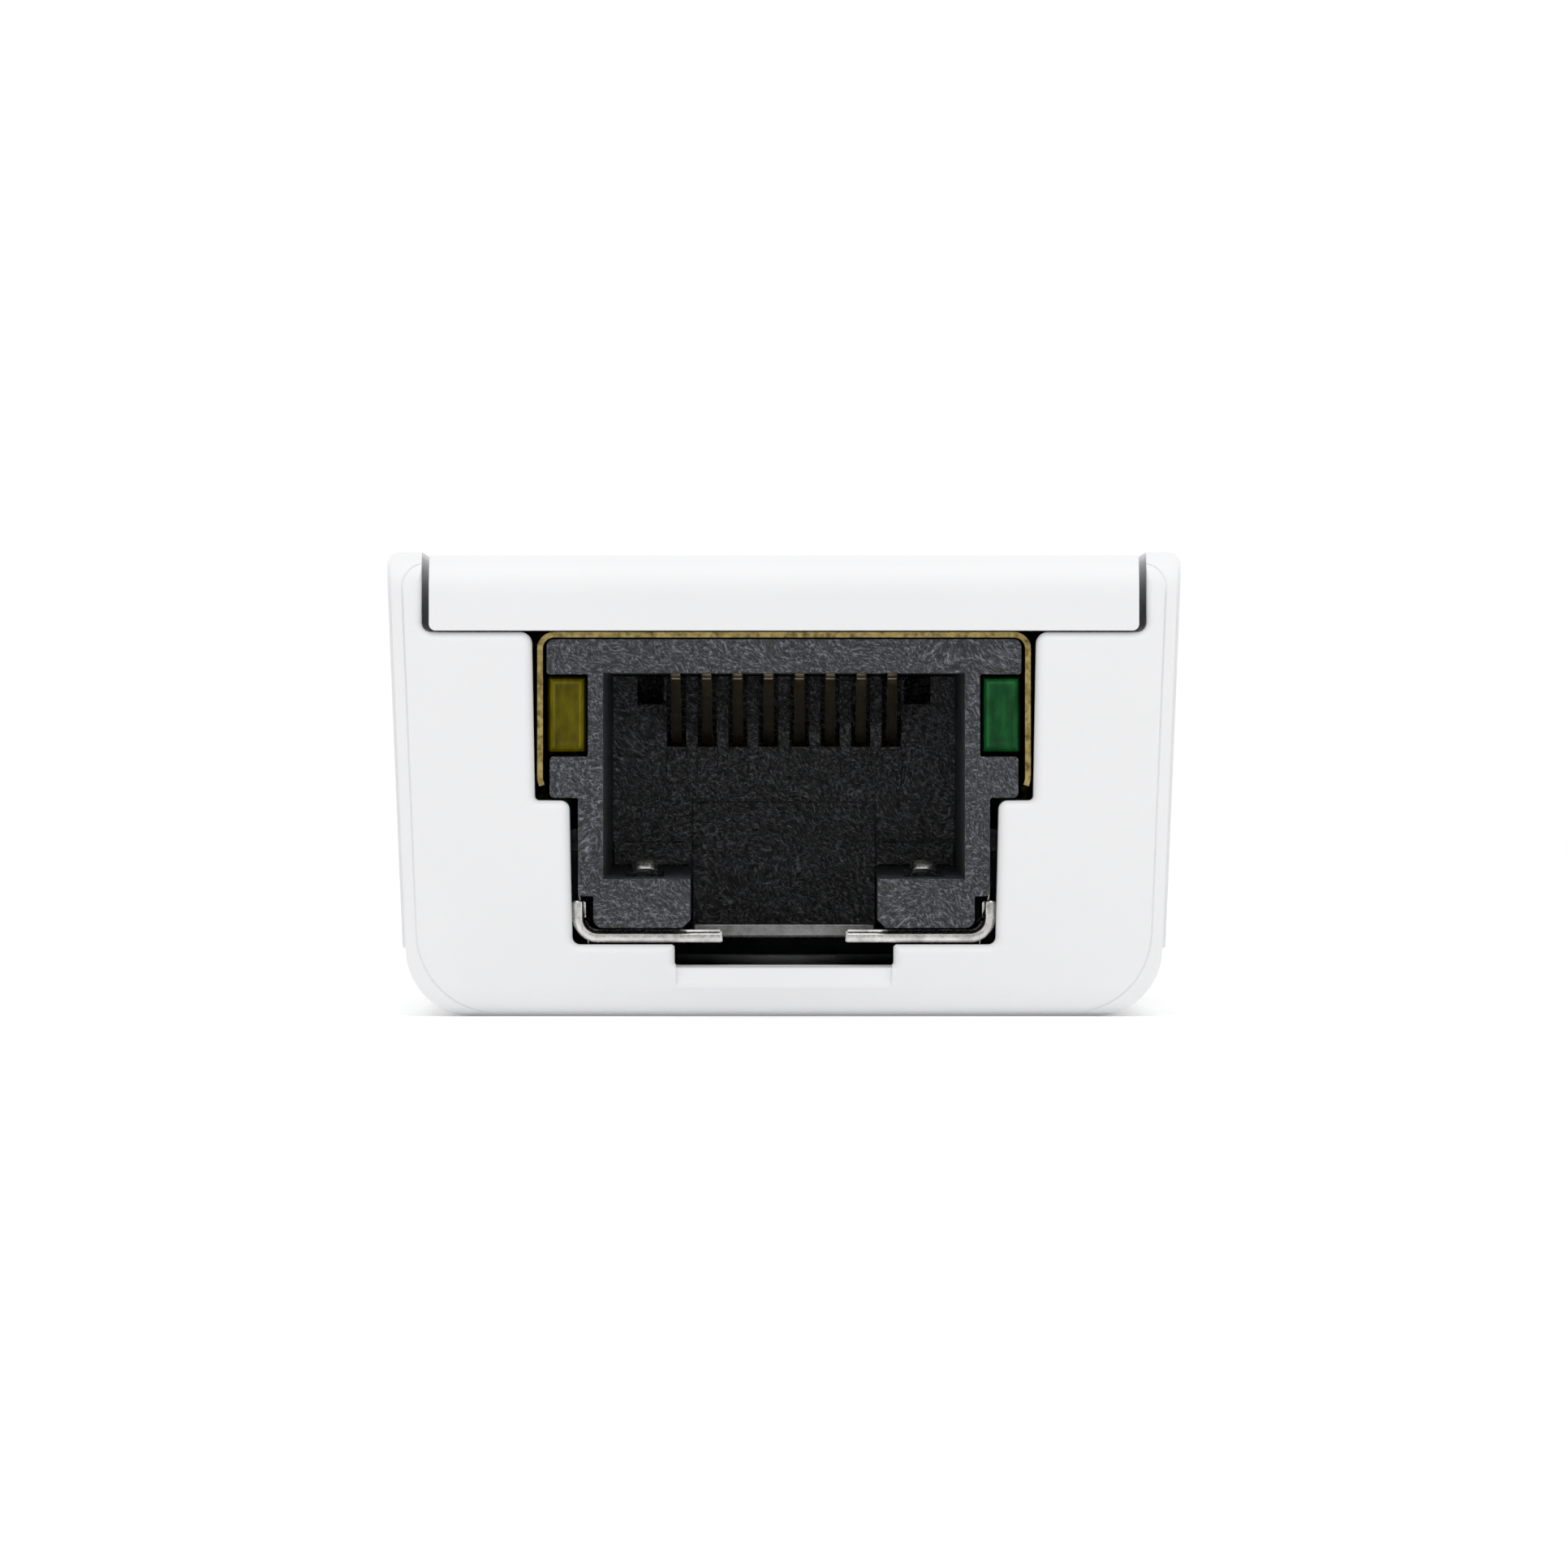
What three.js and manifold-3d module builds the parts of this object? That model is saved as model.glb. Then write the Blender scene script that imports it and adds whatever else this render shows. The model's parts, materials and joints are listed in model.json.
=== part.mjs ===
// Pocket USB network adapter: a white two-piece case round a mid-mounted RJ45 socket and its circuit board.
// Millimetres, +Z up. The socket faces -Y and the lead's gland faces +Y.
// The origin is under the middle of the whole adapter, gland included.
import * as THREE from "three";
import { mergeVertices } from "three/addons/utils/BufferGeometryUtils.js";
import Module from "manifold-3d";

const wasm = await Module();
wasm.setup();

// ---------------------------------------------------------------- driving dimensions

const CASE = {
  length: 66,
  halfWidth: 12.33, // of the side walls, at draftFrom above the base
  draft: 0.0413, // the walls lean out by this much per millimetre of height
  draftFrom: 2.3,
  cornerRadius: 2.2, // along the two bottom edges
  railTop: 15.1,
  coverTop: 15.0,
  topEdge: 1.3, // rounding of the end faces into the top
  bottomEdge: 1.05, // and into the base
  sideEdge: 0.23, // and into the sides
  wall: 1.5,
  floor: 1.5,
  gripProud: 0.1, // how far the side grips stand out of the walls
  gripFrom: 0.3, // behind the front face
  gripDrop: 0.03, // below the top of the walls
};
const COVER = { halfWidth: 11.55, gapSide: 0.24, underside: 12.58, seat: 12.5, plate: 1.6, lip: 1.1 };
const GLAND = { z: 7.6, bore: 2.1, neck: 2.95, flange: 4.1, collar: 3.9, proud: 1.6 };
const BOARD = {
  halfWidth: 10.75,
  bottom: 6.05,
  top: 7.05,
  front: 1.8,
  rear: 60.5,
  cutHalf: 6.95, // of the notch that the socket sits in
  cutEnd: 16.1,
};
const SOCKET = {
  front: 0.25,
  rear: 16,
  halfWidth: 5.89, // of the plug's opening
  floor: 4.45,
  roof: 11.16,
  backHalf: 5.65, // the opening narrows to this at the contact carrier
  backFloor: 4.85, // and its floor rises to this
  slotHalf: 3.05, // the latch's slot in the floor
  grooveTop: 12, // of the grooves that the contacts run back in
  carrier: 11.9, // how far in the contact carrier's face is
};
const CARRIER = { middleTop: 6.85, middleProud: 0.12, shoulderTop: 5.6, shoulderProud: 0.3, combLow: 8.72 };
const JACK = {
  topHalf: 7.74,
  top: 12.26,
  seat: 7.1, // underside of the wide upper part
  lowHalf: 6.7,
  waist: 6.45,
  lowEnd: 3.88,
  ledgeHalf: 6.2,
  base: 2.87,
};
const CONTACT = {
  count: 8,
  pitch: 1.016,
  width: 0.35,
  thick: 0.25,
  slope: 15.2, // degrees that the spring leg falls towards the back
  bend: 0.32, // radius of the turn at the front
  bendDepth: 4.9,
  bendZ: 11.42,
};
const LED = { inner: 6.42, outer: 7.7, low: 8.5, high: 11.06, front: 0.35, length: 4.8 };
const SHEET = { upper: 0.22, lower: 0.28, upperHalf: 8.03, upperTop: 12.5, lowerHalf: 6.83, lowerTop: 3.77 };
const PLAY = 0.05; // between pieces that touch

const frontY = -(CASE.length + GLAND.proud) / 2;
const rearY = frontY + CASE.length;
const atDepth = (depth) => frontY + depth; // depths are measured from the front face

// ---------------------------------------------------------------- materials

function material(color, roughness, metalness = 0) {
  return new THREE.MeshStandardMaterial({ color, roughness, metalness });
}
const MATERIALS = {
  whitePlastic: material(0xf1f1f3, 0.32),
  whiteRubber: material(0xe6e6e8, 0.6),
  blackPlastic: material(0x2b2e36, 0.55),
  brassSheet: material(0xb79a52, 0.35, 1),
  nickelSheet: material(0xb9b8b2, 0.3, 1),
  goldWire: material(0xc9a75c, 0.3, 1),
  tinnedWire: material(0xc4c4c6, 0.35, 1),
  yellowLens: material(0x8c8313, 0.2),
  greenLens: material(0x1c8a3f, 0.2),
  boardGreen: material(0x1d5c34, 0.5),
  chipBlack: material(0x1c1c1e, 0.6),
  ceramicTan: material(0xa98a64, 0.55),
  resistorBlack: material(0x222226, 0.4),
  ferriteGrey: material(0x4a4a4e, 0.6),
};

// ---------------------------------------------------------------- shapes and solids

const adapter = new THREE.Group();

function addMesh(name, geometry, materialUsed) {
  const mesh = new THREE.Mesh(geometry, materialUsed);
  mesh.name = name;
  adapter.add(mesh);
  return mesh;
}

// A closed geometry as a manifold solid.
function solidOf(geometry) {
  const bare = geometry.clone();
  bare.deleteAttribute("normal");
  bare.deleteAttribute("uv");
  const merged = mergeVertices(bare);
  return new wasm.Manifold(
    new wasm.Mesh({
      numProp: 3,
      vertProperties: merged.attributes.position.array,
      triVerts: new Uint32Array(merged.index.array),
    }),
  );
}

function geometryOf(solid) {
  const found = solid.getMesh();
  const geometry = new THREE.BufferGeometry();
  geometry.setAttribute("position", new THREE.BufferAttribute(new Float32Array(found.vertProperties), 3));
  geometry.setIndex(new THREE.BufferAttribute(new Uint32Array(found.triVerts), 1));
  geometry.computeVertexNormals();
  return geometry;
}

const addSolid = (name, solid, materialUsed) => addMesh(name, geometryOf(solid), materialUsed);
const joined = (solids) => solids.reduce((all, one) => all.add(one));
const cut = (solid, cutters) => cutters.reduce((left, cutter) => left.subtract(cutter), solid);

// Corners [a, b, radius] with each corner rounded; an open line keeps its two ends.
function rounded(corners, closed = true, steps = 5) {
  const count = corners.length;
  const point = (i) => new THREE.Vector2(...corners[(i + count) % count]);
  return corners.flatMap(([, , radius = 0], i) => {
    const here = point(i);
    const isEnd = !closed && (i === 0 || i === count - 1);
    if (!radius || isEnd) return [here];
    const back = point(i - 1).sub(here).normalize();
    const ahead = point(i + 1).sub(here).normalize();
    const half = Math.acos(back.dot(ahead)) / 2;
    const centre = back.clone().add(ahead).normalize().multiplyScalar(radius / Math.sin(half)).add(here);
    const start = back.multiplyScalar(radius / Math.tan(half)).add(here).sub(centre);
    const sweep = Math.PI - 2 * half;
    const turn = Math.sign(start.cross(ahead.multiplyScalar(radius / Math.tan(half)).add(here).sub(centre)));
    return Array.from({ length: steps + 1 }, (_, k) =>
      start.clone().rotateAround(new THREE.Vector2(), (turn * sweep * k) / steps).add(centre),
    );
  });
}

// A closed band of even thickness along a line of points.
function ribbon(line, thickness) {
  const side = (sign) =>
    line.map((here, i) => {
      const before = line[Math.max(i - 1, 0)];
      const after = line[Math.min(i + 1, line.length - 1)];
      const first = here.clone().sub(before).normalize();
      const second = after.clone().sub(here).normalize();
      const along = first.add(second).normalize();
      const stretch = i > 0 && i < line.length - 1 ? 1 / Math.max(0.5, along.dot(second)) : 1;
      return new THREE.Vector2(-along.y, along.x).multiplyScalar((sign * stretch * thickness) / 2).add(here);
    });
  return [...side(1), ...side(-1).reverse()];
}

// Outlines in the XZ, YZ and XY planes, extruded along the axis that is left over.
function extruded(points, from, to, basis) {
  const settings = { depth: to - from, bevelEnabled: false };
  const geometry = new THREE.ExtrudeGeometry(new THREE.Shape(points), settings);
  return solidOf(geometry.translate(0, 0, from).applyMatrix4(new THREE.Matrix4().makeBasis(...basis)));
}
const X = new THREE.Vector3(1, 0, 0);
const Y = new THREE.Vector3(0, 1, 0);
const Z = new THREE.Vector3(0, 0, 1);
const alongY = (points, from, to) => extruded(points, -to, -from, [X, Z, Y.clone().negate()]);
const alongX = (points, from, to) => extruded(points, from, to, [Y, Z, X]);
const alongZ = (points, from, to) => extruded(points, from, to, [X, Y, Z]);

function block([x0, x1], [y0, y1], [z0, z1]) {
  const geometry = new THREE.BoxGeometry(x1 - x0, y1 - y0, z1 - z0);
  return solidOf(geometry.translate((x0 + x1) / 2, (y0 + y1) / 2, (z0 + z1) / 2));
}
const depths = (from, to) => [atDepth(from), atDepth(to)];

// A block along Y whose far end is the rectangle backX by backZ.
function taperedBlock(x, [y0, y1], z, backX, backZ) {
  const geometry = new THREE.BoxGeometry(1, 1, 1).translate(0.5, 0.5, 0.5);
  const corners = geometry.attributes.position;
  for (let i = 0; i < corners.count; i += 1) {
    const [across, along, up] = [corners.getX(i), corners.getY(i), corners.getZ(i)].map(Math.round);
    const [xs, zs] = along ? [backX, backZ] : [x, z];
    corners.setXYZ(i, xs[across], along ? y1 : y0, zs[up]);
  }
  return solidOf(geometry);
}

// The same block on the left and on the right.
const pair = ([x0, x1], y, z) => [block([x0, x1], y, z), block([-x1, -x0], y, z)];

// A round hole or post along Z.
function post(x, y, radius, z0, z1, sides = 12) {
  const geometry = new THREE.CylinderGeometry(radius, radius, z1 - z0, sides).rotateX(Math.PI / 2);
  return solidOf(geometry.translate(x, y, (z0 + z1) / 2));
}

// Mirrors a right-hand outline [x, z, radius], listed from the bottom up, into a closed one.
const mirrored = (half) => rounded([...half, ...half.map(([x, z, radius]) => [-x, z, radius]).reverse()]);

// ---------------------------------------------------------------- case

const wallAt = (z) => CASE.halfWidth + (z - CASE.draftFrom) * CASE.draft;

// The case seen from its side: its end faces, rounded into its top and its base.
const endProfile = (top, inset = 0) => rounded([
  [frontY + inset, 0, CASE.bottomEdge],
  [rearY - inset, 0, CASE.bottomEdge],
  [rearY - inset, top, CASE.topEdge],
  [frontY + inset, top, CASE.topEdge],
]);

// The case's outer block: its section, rounded into the end faces above, below and at the sides.
function caseBlock(top) {
  const section = mirrored([
    [wallAt(0), 0, CASE.cornerRadius],
    [wallAt(top), top, 0.4],
  ]);
  const plan = rounded([
    [-wallAt(top), frontY, CASE.sideEdge],
    [wallAt(top), frontY, CASE.sideEdge],
    [wallAt(top), rearY, CASE.sideEdge],
    [-wallAt(top), rearY, CASE.sideEdge],
  ], true, 2);
  return alongY(section, frontY, rearY)
    .intersect(alongX(endProfile(top), -20, 20))
    .intersect(alongZ(plan, -1, top + 1));
}

// A thin raised grip along one side wall, from just over the bottom corner to the top.
function sideGrip(side) {
  const outline = rounded([
    [wallAt(2.25) - 0.5, 2.25],
    [wallAt(2.25) + CASE.gripProud, 2.25],
    [wallAt(CASE.railTop) + CASE.gripProud, CASE.railTop, 0.4],
    [wallAt(CASE.railTop) - 0.6, CASE.railTop],
  ]).map((point) => new THREE.Vector2(side * point.x, point.y));
  const ends = alongX(endProfile(CASE.railTop - CASE.gripDrop, CASE.gripFrom), -20, 20);
  return alongY(outline, frontY, rearY).intersect(ends);
}

const SEAT_HALF = COVER.halfWidth + COVER.gapSide;
const INNER_HALF = 10.95;
const HOOK_DEPTHS = [22, 52];
const HOOK = { length: 4, low: 10.3, barb: 0.35, pocket: [10.5, 11.7] };

// The stepped hole that the socket shows through, with the latch's finger relief under it.
const jackWindow = rounded([
  [-3.56, 1.66],
  [3.56, 1.66],
  [3.56, 2.33],
  [6.88, 2.33],
  [6.98, 7.04, 0.15],
  [8.1, 7.04],
  [8.16, COVER.seat + 1],
  [-8.16, COVER.seat + 1],
  [-8.1, 7.04],
  [-6.98, 7.04, 0.15],
  [-6.88, 2.33],
  [-3.56, 2.33],
], true, 3);

function slotFor(radius, top) {
  const arc = Array.from({ length: 13 }, (_, k) => {
    const angle = Math.PI + (Math.PI * k) / 12;
    return new THREE.Vector2(radius * Math.cos(angle), GLAND.z + radius * Math.sin(angle));
  });
  return [...arc, new THREE.Vector2(radius, top), new THREE.Vector2(-radius, top)];
}

function bottomTray() {
  const outside = joined([caseBlock(CASE.railTop), sideGrip(1), sideGrip(-1)]);
  const inside = [frontY + CASE.wall, rearY - CASE.wall];
  const coverPocket = alongY(rounded([
    [-SEAT_HALF, COVER.seat, 0.3],
    [SEAT_HALF, COVER.seat, 0.3],
    [SEAT_HALF, 20],
    [-SEAT_HALF, 20],
  ], true, 3), frontY - 1, rearY + 1);
  const bay = block([-INNER_HALF, INNER_HALF], inside, [CASE.floor, COVER.seat + 1]);
  const hookPockets = HOOK_DEPTHS.flatMap((depth) =>
    pair([INNER_HALF - 0.1, INNER_HALF + 0.5], depths(depth - 0.2, depth + HOOK.length + 0.2), HOOK.pocket),
  );
  const shell = cut(outside, [
    coverPocket,
    bay,
    alongY(jackWindow, frontY - 1, frontY + CASE.wall + 0.5),
    alongY(slotFor(GLAND.neck + PLAY, COVER.seat + 1), rearY - CASE.wall - 0.5, rearY + 1),
    ...hookPockets,
  ]);
  const ribDepths = [19.5, 34, 57];
  const boardRibs = ribDepths.flatMap((depth) =>
    pair([9.2, INNER_HALF + 0.1], depths(depth, depth + 1.6), [CASE.floor - 0.1, BOARD.bottom - 0.02]),
  );
  const stopper = block([-4, 4], depths(61, 62.2), [CASE.floor - 0.1, 3.2]);
  return joined([shell, ...boardRibs, stopper]);
}

function topCover() {
  const slab = caseBlock(CASE.coverTop).intersect(
    alongY(rounded([
      [-COVER.halfWidth, COVER.underside, 0.22],
      [COVER.halfWidth, COVER.underside, 0.22],
      [COVER.halfWidth, 20],
      [-COVER.halfWidth, 20],
    ], true, 3), frontY - 1, rearY + 1),
  );
  const hollow = block(
    [COVER.lip - COVER.halfWidth, COVER.halfWidth - COVER.lip],
    [frontY + CASE.wall, rearY - CASE.wall],
    [COVER.underside - 1, CASE.coverTop - COVER.plate],
  );
  const under = CASE.coverTop - COVER.plate;
  const hooks = HOOK_DEPTHS.flatMap((depth) => {
    const y = depths(depth, depth + HOOK.length);
    const profile = [
      [9.95, under + 0.1],
      [9.95, HOOK.low],
      [10.4, HOOK.low],
      [INNER_HALF + HOOK.barb, HOOK.pocket[0] + 0.6],
      [INNER_HALF + HOOK.barb, HOOK.pocket[1] - 0.15],
      [INNER_HALF - PLAY * 2, HOOK.pocket[1] - 0.15],
      [INNER_HALF - PLAY * 2, under + 0.1],
    ].map(([x, z]) => new THREE.Vector2(x, z));
    const other = profile.map((point) => new THREE.Vector2(-point.x, point.y));
    return [alongY(profile, ...y), alongY(other, ...y)];
  });
  const pressPosts = [30, 46].flatMap((depth) =>
    pair([8.6, 9.8], depths(depth, depth + 1.2), [BOARD.top + PLAY, under + 0.1]),
  );
  const stiffeners = [24, 36, 48].map((depth) =>
    block([-8.4, 8.4], depths(depth, depth + 0.9), [under - 0.7, under + 0.1]),
  );
  const tongue = block(
    [-GLAND.neck, GLAND.neck],
    [rearY - CASE.wall, rearY],
    [GLAND.z, COVER.underside + 0.5],
  ).subtract(ringHole(GLAND.neck + PLAY));
  return joined([slab.subtract(hollow), tongue, ...hooks, ...pressPosts, ...stiffeners]);
}

// A round cutter along Y on the gland's axis, right through the rear wall.
function ringHole(radius) {
  const geometry = new THREE.CylinderGeometry(radius, radius, 6, 24);
  return solidOf(geometry.translate(0, rearY - CASE.wall / 2, GLAND.z));
}

function cableGland() {
  const inner = rearY - CASE.wall - PLAY;
  const outer = rearY + PLAY;
  const profile = [
    [GLAND.bore, inner - 1.2],
    [GLAND.flange, inner - 1.2],
    [GLAND.flange, inner],
    [GLAND.neck, inner],
    [GLAND.neck, outer],
    [GLAND.collar, outer],
    [GLAND.collar, outer + 0.9],
    [GLAND.collar - 0.5, rearY + GLAND.proud],
    [GLAND.bore + 0.2, rearY + GLAND.proud],
    [GLAND.bore, rearY + GLAND.proud - 0.2],
    [GLAND.bore, inner - 1.2],
  ].map(([radius, y]) => new THREE.Vector2(radius, y));
  return new THREE.LatheGeometry(profile, 28).translate(0, 0, GLAND.z);
}

addSolid("bottom_tray", bottomTray(), MATERIALS.whitePlastic);
addSolid("top_cover", topCover(), MATERIALS.whitePlastic);
addMesh("cable_gland", cableGland(), MATERIALS.whiteRubber);

// ---------------------------------------------------------------- RJ45 socket

const contactX = (index) => (index - (CONTACT.count - 1) / 2) * CONTACT.pitch;
const FINGER = {
  x: 4.55,
  half: 0.42,
  window: [2.3, 8.2],
  hinge: 7.7,
  crest: [4.25, 5.12], // depth and height of the turn at its top
  tip: [3.35, 4.66],
  thick: 0.2,
};

function socketHousing() {
  const body = depths(SOCKET.front, SOCKET.rear);
  const outline = mirrored([
    [JACK.ledgeHalf, JACK.base, 0.2],
    [JACK.ledgeHalf, JACK.lowEnd],
    [JACK.lowHalf, JACK.lowEnd, 0.1],
    [JACK.lowHalf, JACK.seat],
    [JACK.topHalf, JACK.seat, 0.12],
    [JACK.topHalf, JACK.top, 0.25],
  ]);
  const cavity = block(
    [-SOCKET.halfWidth, SOCKET.halfWidth],
    depths(SOCKET.carrier - PLAY, 20),
    [SOCKET.floor, SOCKET.roof],
  );
  const mouth = taperedBlock(
    [-SOCKET.halfWidth, SOCKET.halfWidth],
    depths(0, SOCKET.carrier),
    [SOCKET.floor, SOCKET.roof],
    [-SOCKET.backHalf, SOCKET.backHalf],
    [SOCKET.backFloor, SOCKET.roof],
  );
  const latchSlot = block([-SOCKET.slotHalf, SOCKET.slotHalf], depths(-1, 20), [0, SOCKET.backFloor + 0.5]);
  const waist = pair([JACK.waist, 9], depths(1.4, 20), [0, JACK.seat - 0.02]);
  const ledChannels = pair([LED.inner - PLAY, 9], depths(-1, 20), [LED.low - PLAY, LED.high + PLAY]);
  const grooves = Array.from({ length: CONTACT.count }, (_, i) =>
    block([contactX(i) - 0.25, contactX(i) + 0.25], depths(4.2, 20), [SOCKET.roof - 0.1, SOCKET.grooveTop]),
  );
  const windows = pair(
    [FINGER.x - FINGER.half - 0.2, FINGER.x + FINGER.half + 0.2],
    depths(...FINGER.window),
    [0, SOCKET.backFloor],
  );
  const hollows = [cavity, mouth, latchSlot, ...waist, ...ledChannels, ...grooves, ...windows];
  return cut(alongY(outline, ...body), hollows);
}

function contactCarrier() {
  const half = SOCKET.halfWidth - PLAY;
  const face = SOCKET.carrier;
  const middleHalf = SOCKET.slotHalf - PLAY;
  const shoulder = [SOCKET.backFloor + PLAY, CARRIER.shoulderTop];
  const bulk = joined([
    block([-half, half], depths(face, SOCKET.rear), [SOCKET.floor + PLAY, SOCKET.roof - PLAY]),
    block(
      [-middleHalf, middleHalf],
      depths(face - CARRIER.middleProud, SOCKET.rear),
      [JACK.base + PLAY, CARRIER.middleTop],
    ),
    ...pair(
      [middleHalf + 2 * PLAY, SOCKET.backHalf - PLAY],
      depths(face - CARRIER.shoulderProud, face + 0.5),
      shoulder,
    ),
  ]);
  const slots = Array.from({ length: CONTACT.count }, (_, i) =>
    block([contactX(i) - 0.33, contactX(i) + 0.33], depths(face - 1, face + 1.6), [CARRIER.combLow, 12]),
  );
  const windows = pair([3.98, 4.85], depths(face - 1, face + 2), [9.7, 12]);
  return cut(bulk, [...slots, ...windows]);
}

addSolid("jack_housing", socketHousing(), MATERIALS.blackPlastic);
addSolid("contact_carrier", contactCarrier(), MATERIALS.blackPlastic);

// Each contact is one bent wire: a tail that stays put, and a spring leg that the plug lifts.
const slope = THREE.MathUtils.degToRad(CONTACT.slope);
const legDirection = new THREE.Vector2(Math.cos(slope), -Math.sin(slope));
const bendCentre = new THREE.Vector2(atDepth(CONTACT.bendDepth), CONTACT.bendZ);
const acrossLeg = new THREE.Vector2(-Math.sin(slope), -Math.cos(slope));
const bendEnd = bendCentre.clone().addScaledVector(acrossLeg, CONTACT.bend);
const legHinge = bendEnd.clone().addScaledVector(legDirection, CONTACT.thick / 2 + 0.03);
const LEG_LENGTH = 7.95;
const TAIL_DEPTHS = [16.4, 17.67];
const TAIL_LOW = 5.3;

function contactTail(index) {
  const run = CONTACT.bendZ + CONTACT.bend;
  const drop = atDepth(TAIL_DEPTHS[index % 2]);
  const straight = rounded([
    [drop, TAIL_LOW],
    [drop, run, 0.4],
    [bendCentre.x, run],
  ], false, 4);
  const steps = 8;
  const turn = Math.PI - slope;
  const bend = Array.from({ length: steps }, (_, k) => {
    const angle = Math.PI / 2 + (turn * (k + 1)) / steps;
    return new THREE.Vector2(Math.cos(angle), Math.sin(angle)).multiplyScalar(CONTACT.bend).add(bendCentre);
  });
  return ribbon([...straight, ...bend], CONTACT.thick);
}

function springLeg() {
  const normal = new THREE.Vector2(-legDirection.y, legDirection.x).multiplyScalar(CONTACT.thick / 2);
  const far = legHinge.clone().addScaledVector(legDirection, LEG_LENGTH);
  const steps = 6;
  const nose = Array.from({ length: steps + 1 }, (_, k) =>
    normal.clone().rotateAround(new THREE.Vector2(), (Math.PI * k) / steps).add(legHinge),
  );
  return [...nose, far.clone().sub(normal), far.clone().add(normal)];
}

for (let i = 0; i < CONTACT.count; i += 1) {
  const sides = [contactX(i) - CONTACT.width / 2, contactX(i) + CONTACT.width / 2];
  addSolid(`contact_tail_${i + 1}`, alongX(contactTail(i), ...sides), MATERIALS.goldWire);
  addSolid(`contact_spring_${i + 1}`, alongX(springLeg(), ...sides), MATERIALS.goldWire);
}

// ---------------------------------------------------------------- shields

const SHIELD_LEG = { depth: 8.5, half: 0.6, low: 5.2 };
const SHIELD_BACK = 18.5;

function upperShield() {
  const half = SHEET.upperHalf - SHEET.upper / 2;
  const top = SHEET.upperTop - SHEET.upper / 2;
  const line = rounded([
    [-half, 7.35],
    [-half, top, 0.3],
    [half, top, 0.3],
    [half, 7.35],
  ], false, 4);
  const wrap = alongY(ribbon(line, SHEET.upper), ...depths(0.35, SHIELD_BACK));
  const back = block(
    [-7.9, 7.9],
    depths(SHIELD_BACK - SHEET.upper, SHIELD_BACK),
    [7.25, SHEET.upperTop - 0.1],
  );
  const legs = pair(
    [SHEET.upperHalf - SHEET.upper, SHEET.upperHalf],
    depths(SHIELD_LEG.depth - SHIELD_LEG.half, SHIELD_LEG.depth + SHIELD_LEG.half),
    [SHIELD_LEG.low, 7.5],
  );
  return joined([wrap, back, ...legs]);
}

const SHIELD_FRONT = {
  edge: 0.45,
  rear: 15.7,
  tabEnd: 1.6,
  tabHalf: 2,
  tabMiddle: 2.53, // height of the middle of the sheet, in the front tabs
  plateMiddle: 2.66, // and in the plate behind them
  latchEnd: 4.9,
  latchHalf: 3.2,
};

function lowerShield() {
  const half = SHEET.lowerHalf - SHEET.lower / 2;
  const trough = (middle, from, to) => {
    const line = rounded([
      [-half, SHEET.lowerTop],
      [-half, middle, 0.6],
      [half, middle, 0.6],
      [half, SHEET.lowerTop],
    ], false, 6);
    return alongY(ribbon(line, SHEET.lower), ...depths(from, to));
  };
  const channel = joined([
    trough(SHIELD_FRONT.tabMiddle, SHIELD_FRONT.edge, SHIELD_FRONT.tabEnd),
    trough(SHIELD_FRONT.plateMiddle, SHIELD_FRONT.tabEnd - 0.1, SHIELD_FRONT.rear),
  ]);
  const neck = block([-SHIELD_FRONT.tabHalf, SHIELD_FRONT.tabHalf], depths(0, 2), [2, 3]);
  const catchHole = block(
    [-SHIELD_FRONT.latchHalf, SHIELD_FRONT.latchHalf],
    depths(SHIELD_FRONT.tabEnd, SHIELD_FRONT.latchEnd),
    [2, 3],
  );
  const fingerHoles = pair(
    [FINGER.x - FINGER.half - 0.12, FINGER.x + FINGER.half + 0.12],
    depths(FINGER.window[0] + 0.3, FINGER.hinge + FINGER.thick / 2 + PLAY),
    [2, 3],
  );
  return cut(channel, [neck, catchHole, ...fingerHoles]);
}

// A tongue of the lower shield that rises through the socket's floor and presses on the plug.
function groundSpring() {
  const line = rounded([
    [atDepth(FINGER.hinge), SHIELD_FRONT.plateMiddle],
    [atDepth(FINGER.crest[0]), FINGER.crest[1], 0.8],
    [atDepth(FINGER.tip[0]), FINGER.tip[1]],
  ], false, 5);
  const steps = 6;
  const start = line[0];
  const along = line[1].clone().sub(start).normalize();
  const normal = new THREE.Vector2(-along.y, along.x).multiplyScalar(FINGER.thick / 2);
  const nose = Array.from({ length: steps - 1 }, (_, k) =>
    normal.clone().rotateAround(new THREE.Vector2(), (Math.PI * (steps - 1 - k)) / steps).add(start),
  );
  return [...ribbon(line, FINGER.thick), ...nose];
}

addSolid("upper_shield", upperShield(), MATERIALS.brassSheet);
addSolid("lower_shield", lowerShield(), MATERIALS.nickelSheet);
for (const [name, side] of [["left", -1], ["right", 1]]) {
  const middle = side * FINGER.x;
  const tongue = alongX(groundSpring(), middle - FINGER.half, middle + FINGER.half);
  addSolid(`ground_spring_${name}`, tongue, MATERIALS.nickelSheet);
}

// ---------------------------------------------------------------- indicator LEDs

const LED_X = (LED.inner + LED.outer) / 2;
const LED_LEADS = [
  { label: "long", z: 10.4, drop: TAIL_DEPTHS[1] },
  { label: "short", z: 9.2, drop: TAIL_DEPTHS[0] },
];

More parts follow.
